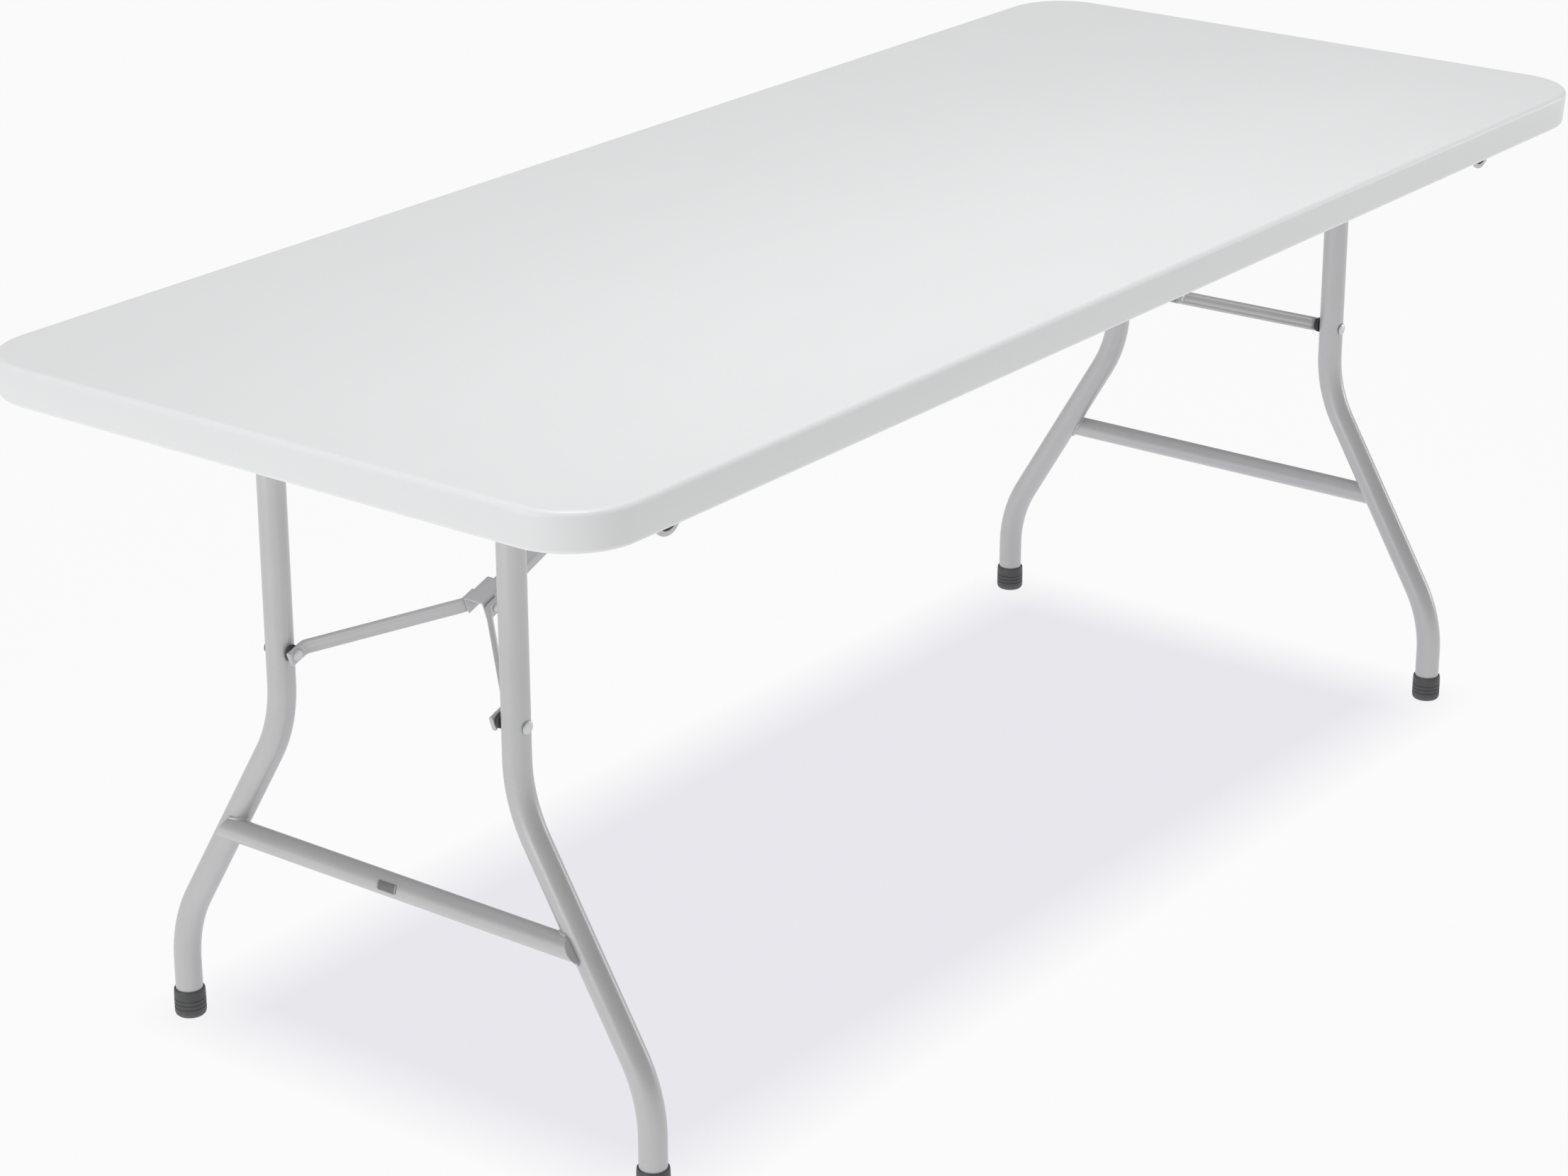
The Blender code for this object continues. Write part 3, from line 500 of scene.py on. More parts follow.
def studio_floor(colour):
    """A white sweep that glows, less so in a painted shadow between the four feet."""
    finish = Finish("studio_floor")
    # Painted shadow: a mask that is 1 in the rectangle through the four feet and fades to 0 past
    # it
    painted_shadow = 1.0
    for axis, reach in (("X", LEG_X), ("Y", LEG_FOOT_Y)):
        painted_shadow = painted_shadow * finish.ramp(abs(finish.axis(axis)), (reach - PAINTED_SHADOW_FADE, 1.0),
                                    (reach + PAINTED_SHADOW_FADE, 0.0))
    # The glow is white outside and the painted shadow's violet grey inside the mask
    glow_with_painted_shadow = finish.mix(painted_shadow, (1.0, 1.0, 1.0), PAINTED_SHADOW_TONE)
    material = finish.surface(colour, 0.9, specular=0.0)
    output = finish.tree.nodes["Material Output"]
    glow = finish.add("ShaderNodeEmission", inputs={"Color": glow_with_painted_shadow, "Strength": FLOOR_GLOW})
    body = Signal(finish, finish.shader.outputs["BSDF"])
    mixed = finish.add("ShaderNodeMixShader", inputs={0: GLOW_SHARE, 1: body, 2: glow})
    finish.connect(output.inputs["Surface"], mixed)
    return material


RECIPES = {
    "white_plastic": (moulded_polyethylene, "top_colour"),
    "grey_coating": (powder_coat, "coat_colour"),
    "zinc_plate": (zinc_plate, "zinc_colour"),
    "foot_rubber": (cap_rubber, "cap_colour"),
    "black_nylon": (black_nylon, "nylon_colour"),
    "label": (blank_plate, "label_colour"),
}


def finish_for(slot):
    """The material of one of the record's slots, made the first time it is asked for."""
    recipe, colour = RECIPES[slot]
    made = bpy.data.materials.get(recipe.__name__)
    return made or recipe(tuple(getattr(bpy.context.scene.table_finish, colour)))


# --- Shapes ---------------------------------------------------------------------------------

def loft(shape, rings, closed=False, capped=True):
    """Skin a row of rings; an open row gets flat ends, a closed one joins last to first."""
    rows = [[shape.verts.new(point) for point in ring] for ring in rings]
    pairs = list(zip(rows, rows[1:]))
    if closed:
        pairs.append((rows[-1], rows[0]))
    elif capped:
        shape.faces.new(rows[0])
        shape.faces.new(rows[-1])
    for near, far in pairs:
        for index in range(len(near)):
            shape.faces.new((near[index - 1], near[index], far[index], far[index - 1]))


def prism(shape, outline, place, start, end):
    """Extrude an outline of (u, v) points from start to end; place(u, v, w) gives the point."""
    loft(shape, [[place(u, v, w) for u, v in outline] for w in (start, end)])


def along_x(u, v, w):
    return Vector((w, u, v))


def along_y(u, v, w):
    return Vector((u, w, v))


def along_z(u, v, w):
    return Vector((u, v, w))


def arc(centre, radius, start, end, steps):
    """Points of an arc about centre, angles in degrees."""
    angles = [math.radians(start + (end - start) * k / steps) for k in range(steps + 1)]
    return [(centre[0] + radius * math.cos(a), centre[1] + radius * math.sin(a)) for a in angles]


def circle(radius, sides):
    return arc((0, 0), radius, 0, 360 - 360 / sides, sides - 1)


def rod(shape, place, centre, radius, start, end, sides=24):
    outline = [(centre[0] + u, centre[1] + v) for u, v in circle(radius, sides)]
    prism(shape, outline, place, start, end)


def turned(shape, place, centre, profile, closed=False, sides=32):
    """A turned shape from (radius, w) points along its axis."""
    rings = [[place(centre[0] + u, centre[1] + v, w) for u, v in circle(radius, sides)]
             for radius, w in profile]
    loft(shape, rings, closed)


def dome(radius, start, rise, steps=5):
    """Profile of a domed head, from its edge at start up by rise to near its middle."""
    angles = [math.pi / 2 * k / (steps + 0.5) for k in range(steps + 1)]
    return [(radius * math.cos(a), start + rise * math.sin(a)) for a in angles]


def rounded_path(corners, radius, steps):
    """The corner points' path, with each inner corner replaced by an arc."""
    path = [corners[0]]
    for before, corner, after in zip(corners, corners[1:], corners[2:]):
        back = (before - corner).normalized()
        ahead = (after - corner).normalized()
        half = back.angle(ahead) / 2
        centre = corner + (back + ahead).normalized() * radius / math.sin(half)
        start = corner + back * radius / math.tan(half) - centre
        axis = start.cross(ahead).normalized()
        sweep = math.pi - 2 * half
        for step in range(steps + 1):
            path.append(centre + Matrix.Rotation(sweep * step / steps, 3, axis) @ start)
    path.append(corners[-1])
    return path


def sweep(path, section, across):
    """The section's rings along a flat path; across is square to the path's plane."""
    rings = []
    for index, point in enumerate(path):
        before = path[max(index - 1, 0)]
        after = path[min(index + 1, len(path) - 1)]
        side = (after - before).normalized().cross(across)
        rings.append([point + across * u + side * v for u, v in section])
    return rings


def tube(shape, path, radius, across, sides):
    outer = sweep(path, circle(radius, sides), across)
    inner = sweep(path, circle(radius - TUBE_WALL, sides), across)
    loft(shape, outer + inner[::-1], closed=True)


def channel(half_width, bottom, top, wall, corner):
    """Outline of a pressed channel with rounded outer and inner corners, web on top."""
    steps = 4
    inner = max(corner - wall, GAP)
    outer_right = arc((half_width - corner, top - corner), corner, 0, 90, steps)
    inner_right = arc((half_width - wall - inner, top - wall - inner), inner, 0, 90, steps)
    outline = [(half_width, bottom)] + outer_right
    outline += [(-u, v) for u, v in outer_right[::-1]] + [(-half_width, bottom)]
    outline += [(wall - half_width, bottom)] + [(-u, v) for u, v in inner_right]
    return outline + inner_right[::-1] + [(half_width - wall, bottom)]


# --- Pieces ---------------------------------------------------------------------------------

def new_object(name, shape):
    bmesh.ops.remove_doubles(shape, verts=shape.verts, dist=0.000002)
    bmesh.ops.recalc_face_normals(shape, faces=shape.faces)
    mesh = bpy.data.meshes.new(name)
    shape.to_mesh(mesh)
    shape.free()
    piece = bpy.data.objects.new(name, mesh)
    bpy.context.collection.objects.link(piece)
    return piece


def drawn(name, build):
    shape = bmesh.new()
    build(shape)
    return new_object(name, shape)


def settle(piece):
    """Turn the piece, with its modifiers, into a plain mesh."""
    evaluated = piece.evaluated_get(bpy.context.evaluated_depsgraph_get())
    mesh = bpy.data.meshes.new_from_object(evaluated)
    piece.modifiers.clear()
    piece.data = mesh
    mesh.name = piece.name


def carve(piece, build):
    """Cut build's solids out of the piece."""
    cutter = drawn(piece.name + "_cutter", build)
    modifier = piece.modifiers.new("Cut", "BOOLEAN")
    modifier.operation = "DIFFERENCE"
    modifier.solver = "EXACT"
    modifier.object = cutter
    settle(piece)
    bpy.data.objects.remove(cutter, do_unlink=True)


def soften(piece, width):
    """Round the sharp edges."""
    modifier = piece.modifiers.new("Edges", "BEVEL")
    modifier.width = width
    modifier.segments = 2
    modifier.limit_method = "ANGLE"
    modifier.angle_limit = math.radians(40)
    modifier.use_clamp_overlap = True
    settle(piece)


def attach(piece, slot, body, *nodes, smooth=35):
    """Shading, material, and the body that the piece moves with."""
    piece.data.shade_smooth()
    piece.data.set_sharp_from_angle(angle=math.radians(smooth))
    piece.data.materials.clear()
    piece.data.materials.append(finish_for(slot))
    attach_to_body(piece, body)
    if nodes:
        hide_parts(*nodes)


def copy_to(piece, name, matrix):
    """The same mesh at another place, with its place in the mesh."""
    mesh = piece.data.copy()
    mesh.transform(matrix)
    other = bpy.data.objects.new(name, mesh)
    bpy.context.collection.objects.link(other)
    return other


def fit_both_ends(name, node, slot, body, build, place=Matrix(), cuts=None, soft=0.0,
                  sides=(0,)):
    """A piece of the left end and its twin, half a turn round, at the right end.

    With sides=SIDES there is one at the front and one at the back of each end, and build and
    cuts take the side. Names get the end and the place added; bodies other than top get the end.
    """
    for side in sides:
        make = build(side) if side else build
        piece = drawn("draft", make)
        if soft:
            soften(piece, soft)
        if cuts:
            carve(piece, cuts(side) if side else cuts)
        for end, turn in zip(ENDS, (Matrix(), HALF_TURN)):
            front = (side < 0) == (end == "left")
            tail = f"_{end}" + (("_front" if front else "_back") if side else "")
            made = copy_to(piece, name + tail, turn @ place)
            rides = body if body == "top" else f"{body}_{end}"
            attach(made, slot, rides, node + tail)
        bpy.data.objects.remove(piece, do_unlink=True)


def tilt_towards(start, end):
    """A frame at start whose -X points to end, in the plane of X and Z."""
    angle = math.atan2(end.z - start.z, start.x - end.x)
    return Matrix.Translation(start) @ Matrix.Rotation(angle, 4, "Y")


LEG_FRAME = Matrix.Translation(LEG_PIVOT)
LINK_FRAME = tilt_towards(ANCHOR, HINGE)
YOKE_FRAME = tilt_towards(HINGE, SPACER_POINT)
ANCHOR_FRAME = Matrix.Translation(ANCHOR)


# --- Repeats made with geometry nodes ---------------------------------------------------------

class Repeater:
    """A geometry node tree with named inputs, which is used once and thrown away."""

    def __init__(self, name):
        self.tree = bpy.data.node_groups.new(name, "GeometryNodeTree")
        for way in ("INPUT", "OUTPUT"):
            self.tree.interface.new_socket("Geometry", in_out=way,
                                           socket_type="NodeSocketGeometry")
        self.values = {}
        self.inputs = self.tree.nodes.new("NodeGroupInput")
        self.outputs = self.tree.nodes.new("NodeGroupOutput")

    def value(self, name, kind, value):
        socket = self.tree.interface.new_socket(name, in_out="INPUT", socket_type=kind)
        self.values[socket.identifier] = value
        return self.inputs.outputs[name]

    def add(self, kind, settings=None, inputs=None, output=0):
        node = self.tree.nodes.new(kind)
        for name, value in (settings or {}).items():
            setattr(node, name, value)
        for name, value in (inputs or {}).items():
            if isinstance(value, bpy.types.NodeSocket):
                self.tree.links.new(value, node.inputs[name])
            else:
                node.inputs[name].default_value = value
        return node.outputs[output]

    def run(self, piece, result, material):
        """Realize the result, give it the material, and leave the piece a plain mesh."""
        whole = self.add("GeometryNodeRealizeInstances", inputs={"Geometry": result})
        material_input = self.value("Finish", "NodeSocketMaterial", material)
        dressed = self.add("GeometryNodeSetMaterial",
                           inputs={"Geometry": whole, "Material": material_input})
        self.tree.links.new(dressed, self.outputs.inputs["Geometry"])
        modifier = piece.modifiers.new("Repeat", "NODES")
        modifier.node_group = self.tree
        for identifier, value in self.values.items():
            modifier[identifier] = value
        settle(piece)
        bpy.data.node_groups.remove(self.tree)


def repeated(name, places, pattern, slot):
    """The pattern object set at each place, by instancing on points."""
    piece = drawn(name, lambda shape: [shape.verts.new(place) for place in places])
    repeater = Repeater(name)
    fastener = repeater.value("Fastener", "NodeSocketObject", pattern)
    scale = repeater.value("Scale", "NodeSocketFloat", 1.0)
    shown = repeater.add("GeometryNodeObjectInfo", inputs={"Object": fastener}, output="Geometry")
    points = repeater.add("GeometryNodeMeshToPoints",
                          inputs={"Mesh": repeater.inputs.outputs["Geometry"]})
    row = repeater.add("GeometryNodeInstanceOnPoints",
                       inputs={"Points": points, "Instance": shown, "Scale": scale})
    repeater.run(piece, row, finish_for(slot))
    return piece


def weld_bead(name, route, radius, seed, closed=True):
    """A rippled bead along a row of points."""
    def wire(shape):
        row = [shape.verts.new(point) for point in route]
        for first, second in zip(row, row[1:] + (row[:1] if closed else [])):
            shape.edges.new((first, second))
    piece = drawn(name, wire)
    repeater = Repeater(name)
    width = repeater.value("Radius", "NodeSocketFloat", radius)
    ripple = repeater.value("Ripple", "NodeSocketFloat", radius * 0.5)
    pitch = repeater.value("Ripple scale", "NodeSocketFloat", 420.0)
    number = repeater.value("Seed", "NodeSocketFloat", float(seed))
    line = repeater.add("GeometryNodeMeshToCurve",
                        inputs={"Mesh": repeater.inputs.outputs["Geometry"]})
    section = repeater.add("GeometryNodeCurvePrimitiveCircle",
                           inputs={"Resolution": 10, "Radius": width}, output="Curve")
    bead = repeater.add("GeometryNodeCurveToMesh", inputs={
        "Curve": line, "Profile Curve": section, "Fill Caps": not closed})
    noise = repeater.add("ShaderNodeTexNoise", {"noise_dimensions": "4D"},
                         {"W": number, "Scale": pitch, "Detail": 1.0}, "Fac")
    centred = repeater.add("ShaderNodeMath", {"operation": "SUBTRACT"}, {0: noise, 1: 0.5})
    amount = repeater.add("ShaderNodeMath", {"operation": "MULTIPLY"}, {0: centred, 1: ripple})
    normal = repeater.add("GeometryNodeInputNormal", output="Normal")
    push = repeater.add("ShaderNodeVectorMath", {"operation": "SCALE"},
                        {"Vector": normal, "Scale": amount}, "Vector")
    rippled = repeater.add("GeometryNodeSetPosition", inputs={"Geometry": bead, "Offset": push})
    repeater.run(piece, rippled, finish_for("grey_coating"))
    return piece


# --- Table top --------------------------------------------------------------------------------

def tile_counts(pitch):
    """Whole tack-off tiles that fit inside the rim, each way."""
    room = RIM_WIDTH + RIM_DRAFT + TACK_MARGIN
    return int((LENGTH - 2 * room) / pitch), int((WIDTH - 2 * room) / pitch)


def plan_ring(inset, z, tiles):
    """The table's outline, moved in by inset, with a point for each tile along its sides."""
    points = []
    for quarter, (sx, sy) in enumerate(QUARTERS):
        centre = (sx * (LENGTH / 2 - CORNER_RADIUS), sy * (WIDTH / 2 - CORNER_RADIUS))
        start = 90 * quarter
        corner = arc(centre, CORNER_RADIUS - inset, start, start + 90, CORNER_STEPS)
        points += corner
        tx, ty = QUARTERS[(quarter + 1) % 4]
        onward = (tx * (LENGTH / 2 - CORNER_RADIUS), ty * (WIDTH / 2 - CORNER_RADIUS))
        goal = arc(onward, CORNER_RADIUS - inset, start + 90, start + 180, CORNER_STEPS)[0]
        points += straight(corner[-1], goal, tiles[quarter % 2])
    return [Vector((x, y, z)) for x, y in points]


def straight(start, goal, parts):
    """Points between two others, both left out."""
    return [tuple(a + (b - a) * k / parts for a, b in zip(start, goal)) for k in range(1, parts)]


def tile_ring(pitch, z, tiles):
    """The edge of the tiled field, in step with plan_ring."""
    half = (tiles[0] * pitch / 2, tiles[1] * pitch / 2)
    points = []
    for quarter, (sx, sy) in enumerate(QUARTERS):
        corner = (sx * half[0], sy * half[1])
        tx, ty = QUARTERS[(quarter + 1) % 4]
        points += [corner] * (CORNER_STEPS + 1)
        points += straight(corner, (tx * half[0], ty * half[1]), tiles[quarter % 2])
    return [Vector((x, y, z)) for x, y in points]


def quarter_turns(steps):
    return [math.pi / 2 * k / steps for k in range(steps + 1)]


def rim_profile(edge, rim_edge):
    """(inset, z) down the outside, round the rim, and up to the panel's underside."""
    bottom = HEIGHT - RIM_DEPTH
    profile = [(CORNER_RADIUS * 0.6, HEIGHT), (edge + 0.004, HEIGHT)]
    profile += [(edge * (1 - math.sin(a)), HEIGHT - edge * (1 - math.cos(a)))
                for a in quarter_turns(7)]
    profile += [(RIM_DRAFT + rim_edge * (1 - math.cos(a)), bottom + rim_edge * (1 - math.sin(a)))
                for a in quarter_turns(6)]
    profile += [(RIM_WIDTH - RIM_BEVEL * math.cos(a), bottom + RIM_BEVEL * (1 - math.sin(a)))
                for a in quarter_turns(5)[::-1]]
    profile += [(RIM_WIDTH + RIM_DRAFT + PANEL_FILLET * (1 - math.cos(a)),
                 PANEL_UNDER - PANEL_FILLET * (1 - math.sin(a))) for a in quarter_turns(5)]
    return profile


def tack_off(shape, pitch, radius, depth):
    """One square of the underside, with the dimple that joins it to the top skin."""
    half = pitch / 2
    lip = TACK_LIP
    floor = radius * 0.52
    profile = [(radius + lip, 0.0), (radius + lip * 0.3, lip * 0.3), (radius - lip * 0.2, lip)]
    profile += [(floor + lip * 1.4, depth - lip * 1.2), (floor + lip * 0.4, depth - lip * 0.2),
                (floor - lip * 0.6, depth)]
    sides = 16
    rows = [[shape.verts.new((r * u, r * v, z)) for u, v in circle(1.0, sides)]
            for r, z in profile]
    for near, far in zip(rows, rows[1:]):
        for k in range(sides):
            shape.faces.new((near[k - 1], near[k], far[k], far[k - 1]))
    shape.faces.new(rows[-1])
    corners = [shape.verts.new((sx * half, sy * half, 0)) for sx, sy in QUARTERS]
    for quarter, corner in enumerate(corners):
        spoke = sides // 4
        fan = [rows[0][(quarter * spoke + k) % sides] for k in range(spoke + 1)]
        for first, second in zip(fan, fan[1:]):
            shape.faces.new((corner, first, second))
        shape.faces.new((corners[quarter - 1], fan[0], corner))


def tack_off_field(pitch, radius, depth, tiles):
    """The whole field of dimples, on a grid of points under the panel."""
    tile = drawn("tack_off", lambda shape: tack_off(shape, pitch, radius, depth))
    field = drawn("field", lambda shape: shape.verts.new((0, 0, PANEL_UNDER)))
    repeater = Repeater("tack_off_field")
    columns = repeater.value("Columns", "NodeSocketInt", tiles[0])
    rows = repeater.value("Rows", "NodeSocketInt", tiles[1])
    length = repeater.value("Length", "NodeSocketFloat", (tiles[0] - 1) * pitch)
    width = repeater.value("Width", "NodeSocketFloat", (tiles[1] - 1) * pitch)
    level = repeater.value("Level", "NodeSocketFloat", PANEL_UNDER)
    one = repeater.value("Tile", "NodeSocketObject", tile)
    grid = repeater.add("GeometryNodeMeshGrid", inputs={
        "Size X": length, "Size Y": width, "Vertices X": columns, "Vertices Y": rows})
    lift = repeater.add("ShaderNodeCombineXYZ", inputs={"Z": level})
    raised = repeater.add("GeometryNodeSetPosition", inputs={"Geometry": grid, "Offset": lift})
    shown = repeater.add("GeometryNodeObjectInfo", inputs={"Object": one}, output="Geometry")
    placed = repeater.add("GeometryNodeInstanceOnPoints",
                          inputs={"Points": raised, "Instance": shown})
    repeater.run(field, placed, finish_for("white_plastic"))
    bpy.data.objects.remove(tile, do_unlink=True)
    return field


class TABLE_OT_top(bpy.types.Operator):
    """Blow-moulded top: crowned edges, a deep rim, and tack-offs underneath"""
    bl_idname = "table.top"
    bl_label = "Moulded top"

    def execute(self, context):
        sizes = context.scene.table_shape
        tiles = tile_counts(sizes.tack_pitch)
        rings = [plan_ring(inset, z, tiles)
                 for inset, z in rim_profile(sizes.top_edge, sizes.rim_edge)]
        shape = bmesh.new()
        loft(shape, rings, capped=False)
        field = tack_off_field(sizes.tack_pitch, sizes.tack_radius, sizes.tack_depth, tiles)
        shape.from_mesh(field.data)
        bpy.data.objects.remove(field, do_unlink=True)
        loft(shape, [rings[-1], tile_ring(sizes.tack_pitch, PANEL_UNDER, tiles)], capped=False)
        bmesh.ops.remove_doubles(shape, verts=shape.verts, dist=0.00001)
        open_edges = [edge for edge in shape.edges if edge.is_boundary]
        bmesh.ops.edgeloop_fill(shape, edges=open_edges)
        if any(not edge.is_manifold for edge in shape.edges):
            raise RuntimeError("the top's skin is not closed")
        attach(new_object("moulded_top", shape), "white_plastic", "top", "tabletop", smooth=32)
        return {"FINISHED"}


# --- Under-frame ------------------------------------------------------------------------------

def rail_outline(side):
    """An angle section with a bent corner."""
    corner = RAIL_CORNER
    bend = arc((RAIL_OUTER_Y - corner, MOUNTING - corner), corner, 90, 0, 4)
    inner = arc((RAIL_OUTER_Y - corner, MOUNTING - corner), corner - SHEET, 0, 90, 3)
    outline = [(RAIL_FLANGE_Y, MOUNTING)] + bend + [(RAIL_OUTER_Y, RAIL_LOW_Z)]
    outline += [(RAIL_OUTER_Y - SHEET, RAIL_LOW_Z)] + inner + [(RAIL_FLANGE_Y, MOUNTING - SHEET)]
    return [(side * y, z) for y, z in outline]


def rail_screw_places():
    spacing = (2 * RAIL_END_X - RAIL_SCREW_MARGINS) / (RAIL_SCREWS - 1)
    y = (RAIL_FLANGE_Y + RAIL_OUTER_Y - SHEET) / 2
    return [(spacing * (k - (RAIL_SCREWS - 1) / 2), side * y)
            for side in SIDES for k in range(RAIL_SCREWS)]


def crossmember_screw_places():
    return [(0.0, y) for y in CROSSMEMBER_SCREW_YS]


def anchor_screw_places():
    places = [(ANCHOR.x, y) for y in (-ANCHOR_SCREW_Y, ANCHOR_SCREW_Y)]
    return places + [(-x, -y) for x, y in places]


def clip_screw_places():
    places = [(CLIP_X + x, y) for x in (-CLIP_SCREW_X, CLIP_SCREW_X) for y in (-CLIP_Y, CLIP_Y)]
    return places + [(-x, -y) for x, y in places]


def screw_holes(places, start=MOUNTING - SCREW_HOLE_DEPTH):
    def cut(shape):
        for place in places:
            rod(shape, along_z, place, SCREW_HOLE_RADIUS, start, MOUNTING + 0.001, 16)
    return cut


def rivet_holes(side):
    def cut(shape):
        for x in (-LEG_X, LEG_X):
            for offset in (-EAR_RIVET_X, EAR_RIVET_X):
                rod(shape, along_y, (x + offset, EAR_RIVET_Z), RIVET_RADIUS + GAP,
                    side * (EAR_INNER_Y - DRILL_OVERRUN),
                    side * (RAIL_OUTER_Y + DRILL_OVERRUN), 16)
    return cut


def ear(side):
    """Pivot bracket: a plate that narrows round the bush."""
    def build(shape):
        shoulder = arc((EAR_HALF_WIDTH - EAR_CORNER, EAR_TOP_Z - EAR_CORNER), EAR_CORNER, 90, 0, 4)
        shoulder += [(EAR_HALF_WIDTH, EAR_SHOULDER_Z)]
        outline = shoulder + arc((0, PIVOT_Z), EAR_RADIUS, -15, -165, 24)
        outline += [(-u, w) for u, w in shoulder[::-1]]
        outline = [(u - LEG_X, w) for u, w in outline]
        prism(shape, outline, along_y, side * EAR_INNER_Y, side * EAR_OUTER_Y)
    return build


def ear_holes(side):
    def cut(shape):
        inner, outer = side * (EAR_INNER_Y - DRILL_OVERRUN), side * (EAR_OUTER_Y + DRILL_OVERRUN)
        rod(shape, along_y, (-LEG_X, PIVOT_Z), BUSH_RADIUS + GAP, inner, outer, 40)
        for offset in (-EAR_RIVET_X, EAR_RIVET_X):
            rod(shape, along_y, (offset - LEG_X, EAR_RIVET_Z), RIVET_RADIUS + GAP, inner, outer,
                16)
    return cut


def bush(side):
    """Flanged nylon bush with a chamfered mouth."""
    def build(shape):
        bore = PIVOT_TUBE_RADIUS + GAP
        flange = EAR_INNER_Y - GAP
        soft = 0.0005
        profile = [(bore + soft, BUSH_INNER_Y), (BUSH_FLANGE_RADIUS - soft, BUSH_INNER_Y),
                   (BUSH_FLANGE_RADIUS, BUSH_INNER_Y + soft), (BUSH_FLANGE_RADIUS, flange - soft),
                   (BUSH_FLANGE_RADIUS - soft, flange), (BUSH_RADIUS, flange),
                   (BUSH_RADIUS, EAR_OUTER_Y), (bore, EAR_OUTER_Y), (bore, BUSH_INNER_Y + soft)]
        turned(shape, along_y, (-LEG_X, PIVOT_Z), [(r, side * w) for r, w in profile],
               closed=True, sides=40)
    return build


def anchor_bracket(shape):
    """Two ears for the link's pin, folded down from a screwed base."""
    x = ANCHOR.x
    outer, inner = CHEEK_OUTER_Y, CHEEK_INNER_Y
    top, under = MOUNTING, MOUNTING - SHEET
    outline = [(-ANCHOR_WING_Y, under), (-ANCHOR_WING_Y, top), (ANCHOR_WING_Y, top),
               (ANCHOR_WING_Y, under), (outer, under), (outer, ANCHOR_LOW_Z),
               (inner, ANCHOR_LOW_Z), (inner, under), (-inner, under), (-inner, ANCHOR_LOW_Z),
               (-outer, ANCHOR_LOW_Z), (-outer, under)]
    prism(shape, outline, along_x, x - ANCHOR_HALF_LENGTH, x + ANCHOR_HALF_LENGTH)


def anchor_holes(shape):
    rod(shape, along_y, (ANCHOR.x, ANCHOR.z), PIN_RADIUS + GAP, -PIN_DRILL_Y, PIN_DRILL_Y)
    screw_holes([(ANCHOR.x, y) for y in (-ANCHOR_SCREW_Y, ANCHOR_SCREW_Y)])(shape)


class TABLE_OT_under_frame(bpy.types.Operator):
    """Side rails, crossmember, pivot brackets, bushes and anchor brackets"""
    bl_idname = "table.under_frame"
    bl_label = "Under-frame"

    def execute(self, context):
        for side, place in zip(SIDES, PLACES):
            rail = drawn(f"angle_rail_{place}", lambda shape: prism(
                shape, rail_outline(side), along_x, -RAIL_END_X, RAIL_END_X))
            carve(rail, lambda shape: (
                screw_holes([p for p in rail_screw_places() if p[1] * side > 0])(shape),
                rivet_holes(side)(shape)))
            attach(rail, "grey_coating", "top", f"side_rail_{place}")
        half = size("crossmember").x / 2
        outline = channel(half, low("crossmember").z - MOUNTING, 0.0, SHEET,
                          CROSSMEMBER_CORNER)
        end = high("crossmember").y
        bar = drawn("cross_channel", lambda shape: prism(
            shape, outline, lambda u, v, w: Vector((u, w, MOUNTING + v)), -end, end))
        carve(bar, screw_holes(crossmember_screw_places()))
        attach(bar, "grey_coating", "top", "crossmember")
        fit_both_ends("pivot_ear", "pivot_bracket", "grey_coating", "top", ear, cuts=ear_holes,
                      soft=0.0005, sides=SIDES)
        fit_both_ends("flanged_bush", "pivot_bush", "black_nylon", "top", bush, sides=SIDES)
        fit_both_ends("link_anchor", "anchor_bracket", "zinc_plate", "top", anchor_bracket,
                      cuts=anchor_holes, soft=0.0005)
        fit_both_ends("link_pin", "anchor_pin", "zinc_plate", "top", headed_pin,
                      place=ANCHOR_FRAME)
        return {"FINISHED"}


def headed_pin(shape):
    """A plain pin with a domed head at each end."""
    head = CHEEK_OUTER_Y + GAP
    right = [(PIN_RADIUS, head)] + dome(PIN_HEAD_RADIUS, head, PIN_HEAD)
    left = [(r, -w) for r, w in right[::-1]]
    turned(shape, along_y, (0, 0), left + right, sides=24)


# --- Leg frames -------------------------------------------------------------------------------

def leg_corners(side):
    heights = (PIVOT_Z - GAP, UPPER_BEND_Z, LOWER_BEND_Z, LEG_FOOT_Z)
    widths = (LEG_TOP_Y, LEG_TOP_Y, LEG_FOOT_Y, LEG_FOOT_Y)
    return [Vector((0, side * y, z - PIVOT_Z)) for y, z in zip(widths, heights)]


def leg_tube(side):
    def build(shape):
        path = rounded_path(leg_corners(side), BEND_RADIUS, 14)
        tube(shape, path, LEG_RADIUS, Vector((1, 0, 0)), bpy.context.scene.table_shape.tube_sides)
    return build


def leg_cuts(side):
    def cut(shape):
        near, far = side * (LEG_TOP_Y - 2 * LEG_RADIUS), side * (LEG_TOP_Y + 2 * LEG_RADIUS)
        rod(shape, along_y, (0, 0), PIVOT_TUBE_RADIUS + GAP, near, far, 40)
        rod(shape, along_y, (0, SPACER_Z - PIVOT_Z), LEG_RIVET_RADIUS + GAP, near, far)
    return cut


def slanting_leg(side):
    """The leg's slanting centre line: its point beside the crossbar, and its direction."""
    top, bottom = leg_corners(side)[1:3]
    run = (UPPER_BEND_Z - CROSSBAR_Z) / (UPPER_BEND_Z - LOWER_BEND_Z)
    return top.lerp(bottom, run), (top - bottom).normalized()


def crossbar(shape):
    """A tube with plugged ends, against the outboard side of both legs."""
    end = slanting_leg(1)[0].y + CROSSBAR_RADIUS
    turned(shape, along_y, (CROSSBAR_X, CROSSBAR_Z - PIVOT_Z),
           [(CROSSBAR_RADIUS, -end), (CROSSBAR_RADIUS, end)], sides=40)


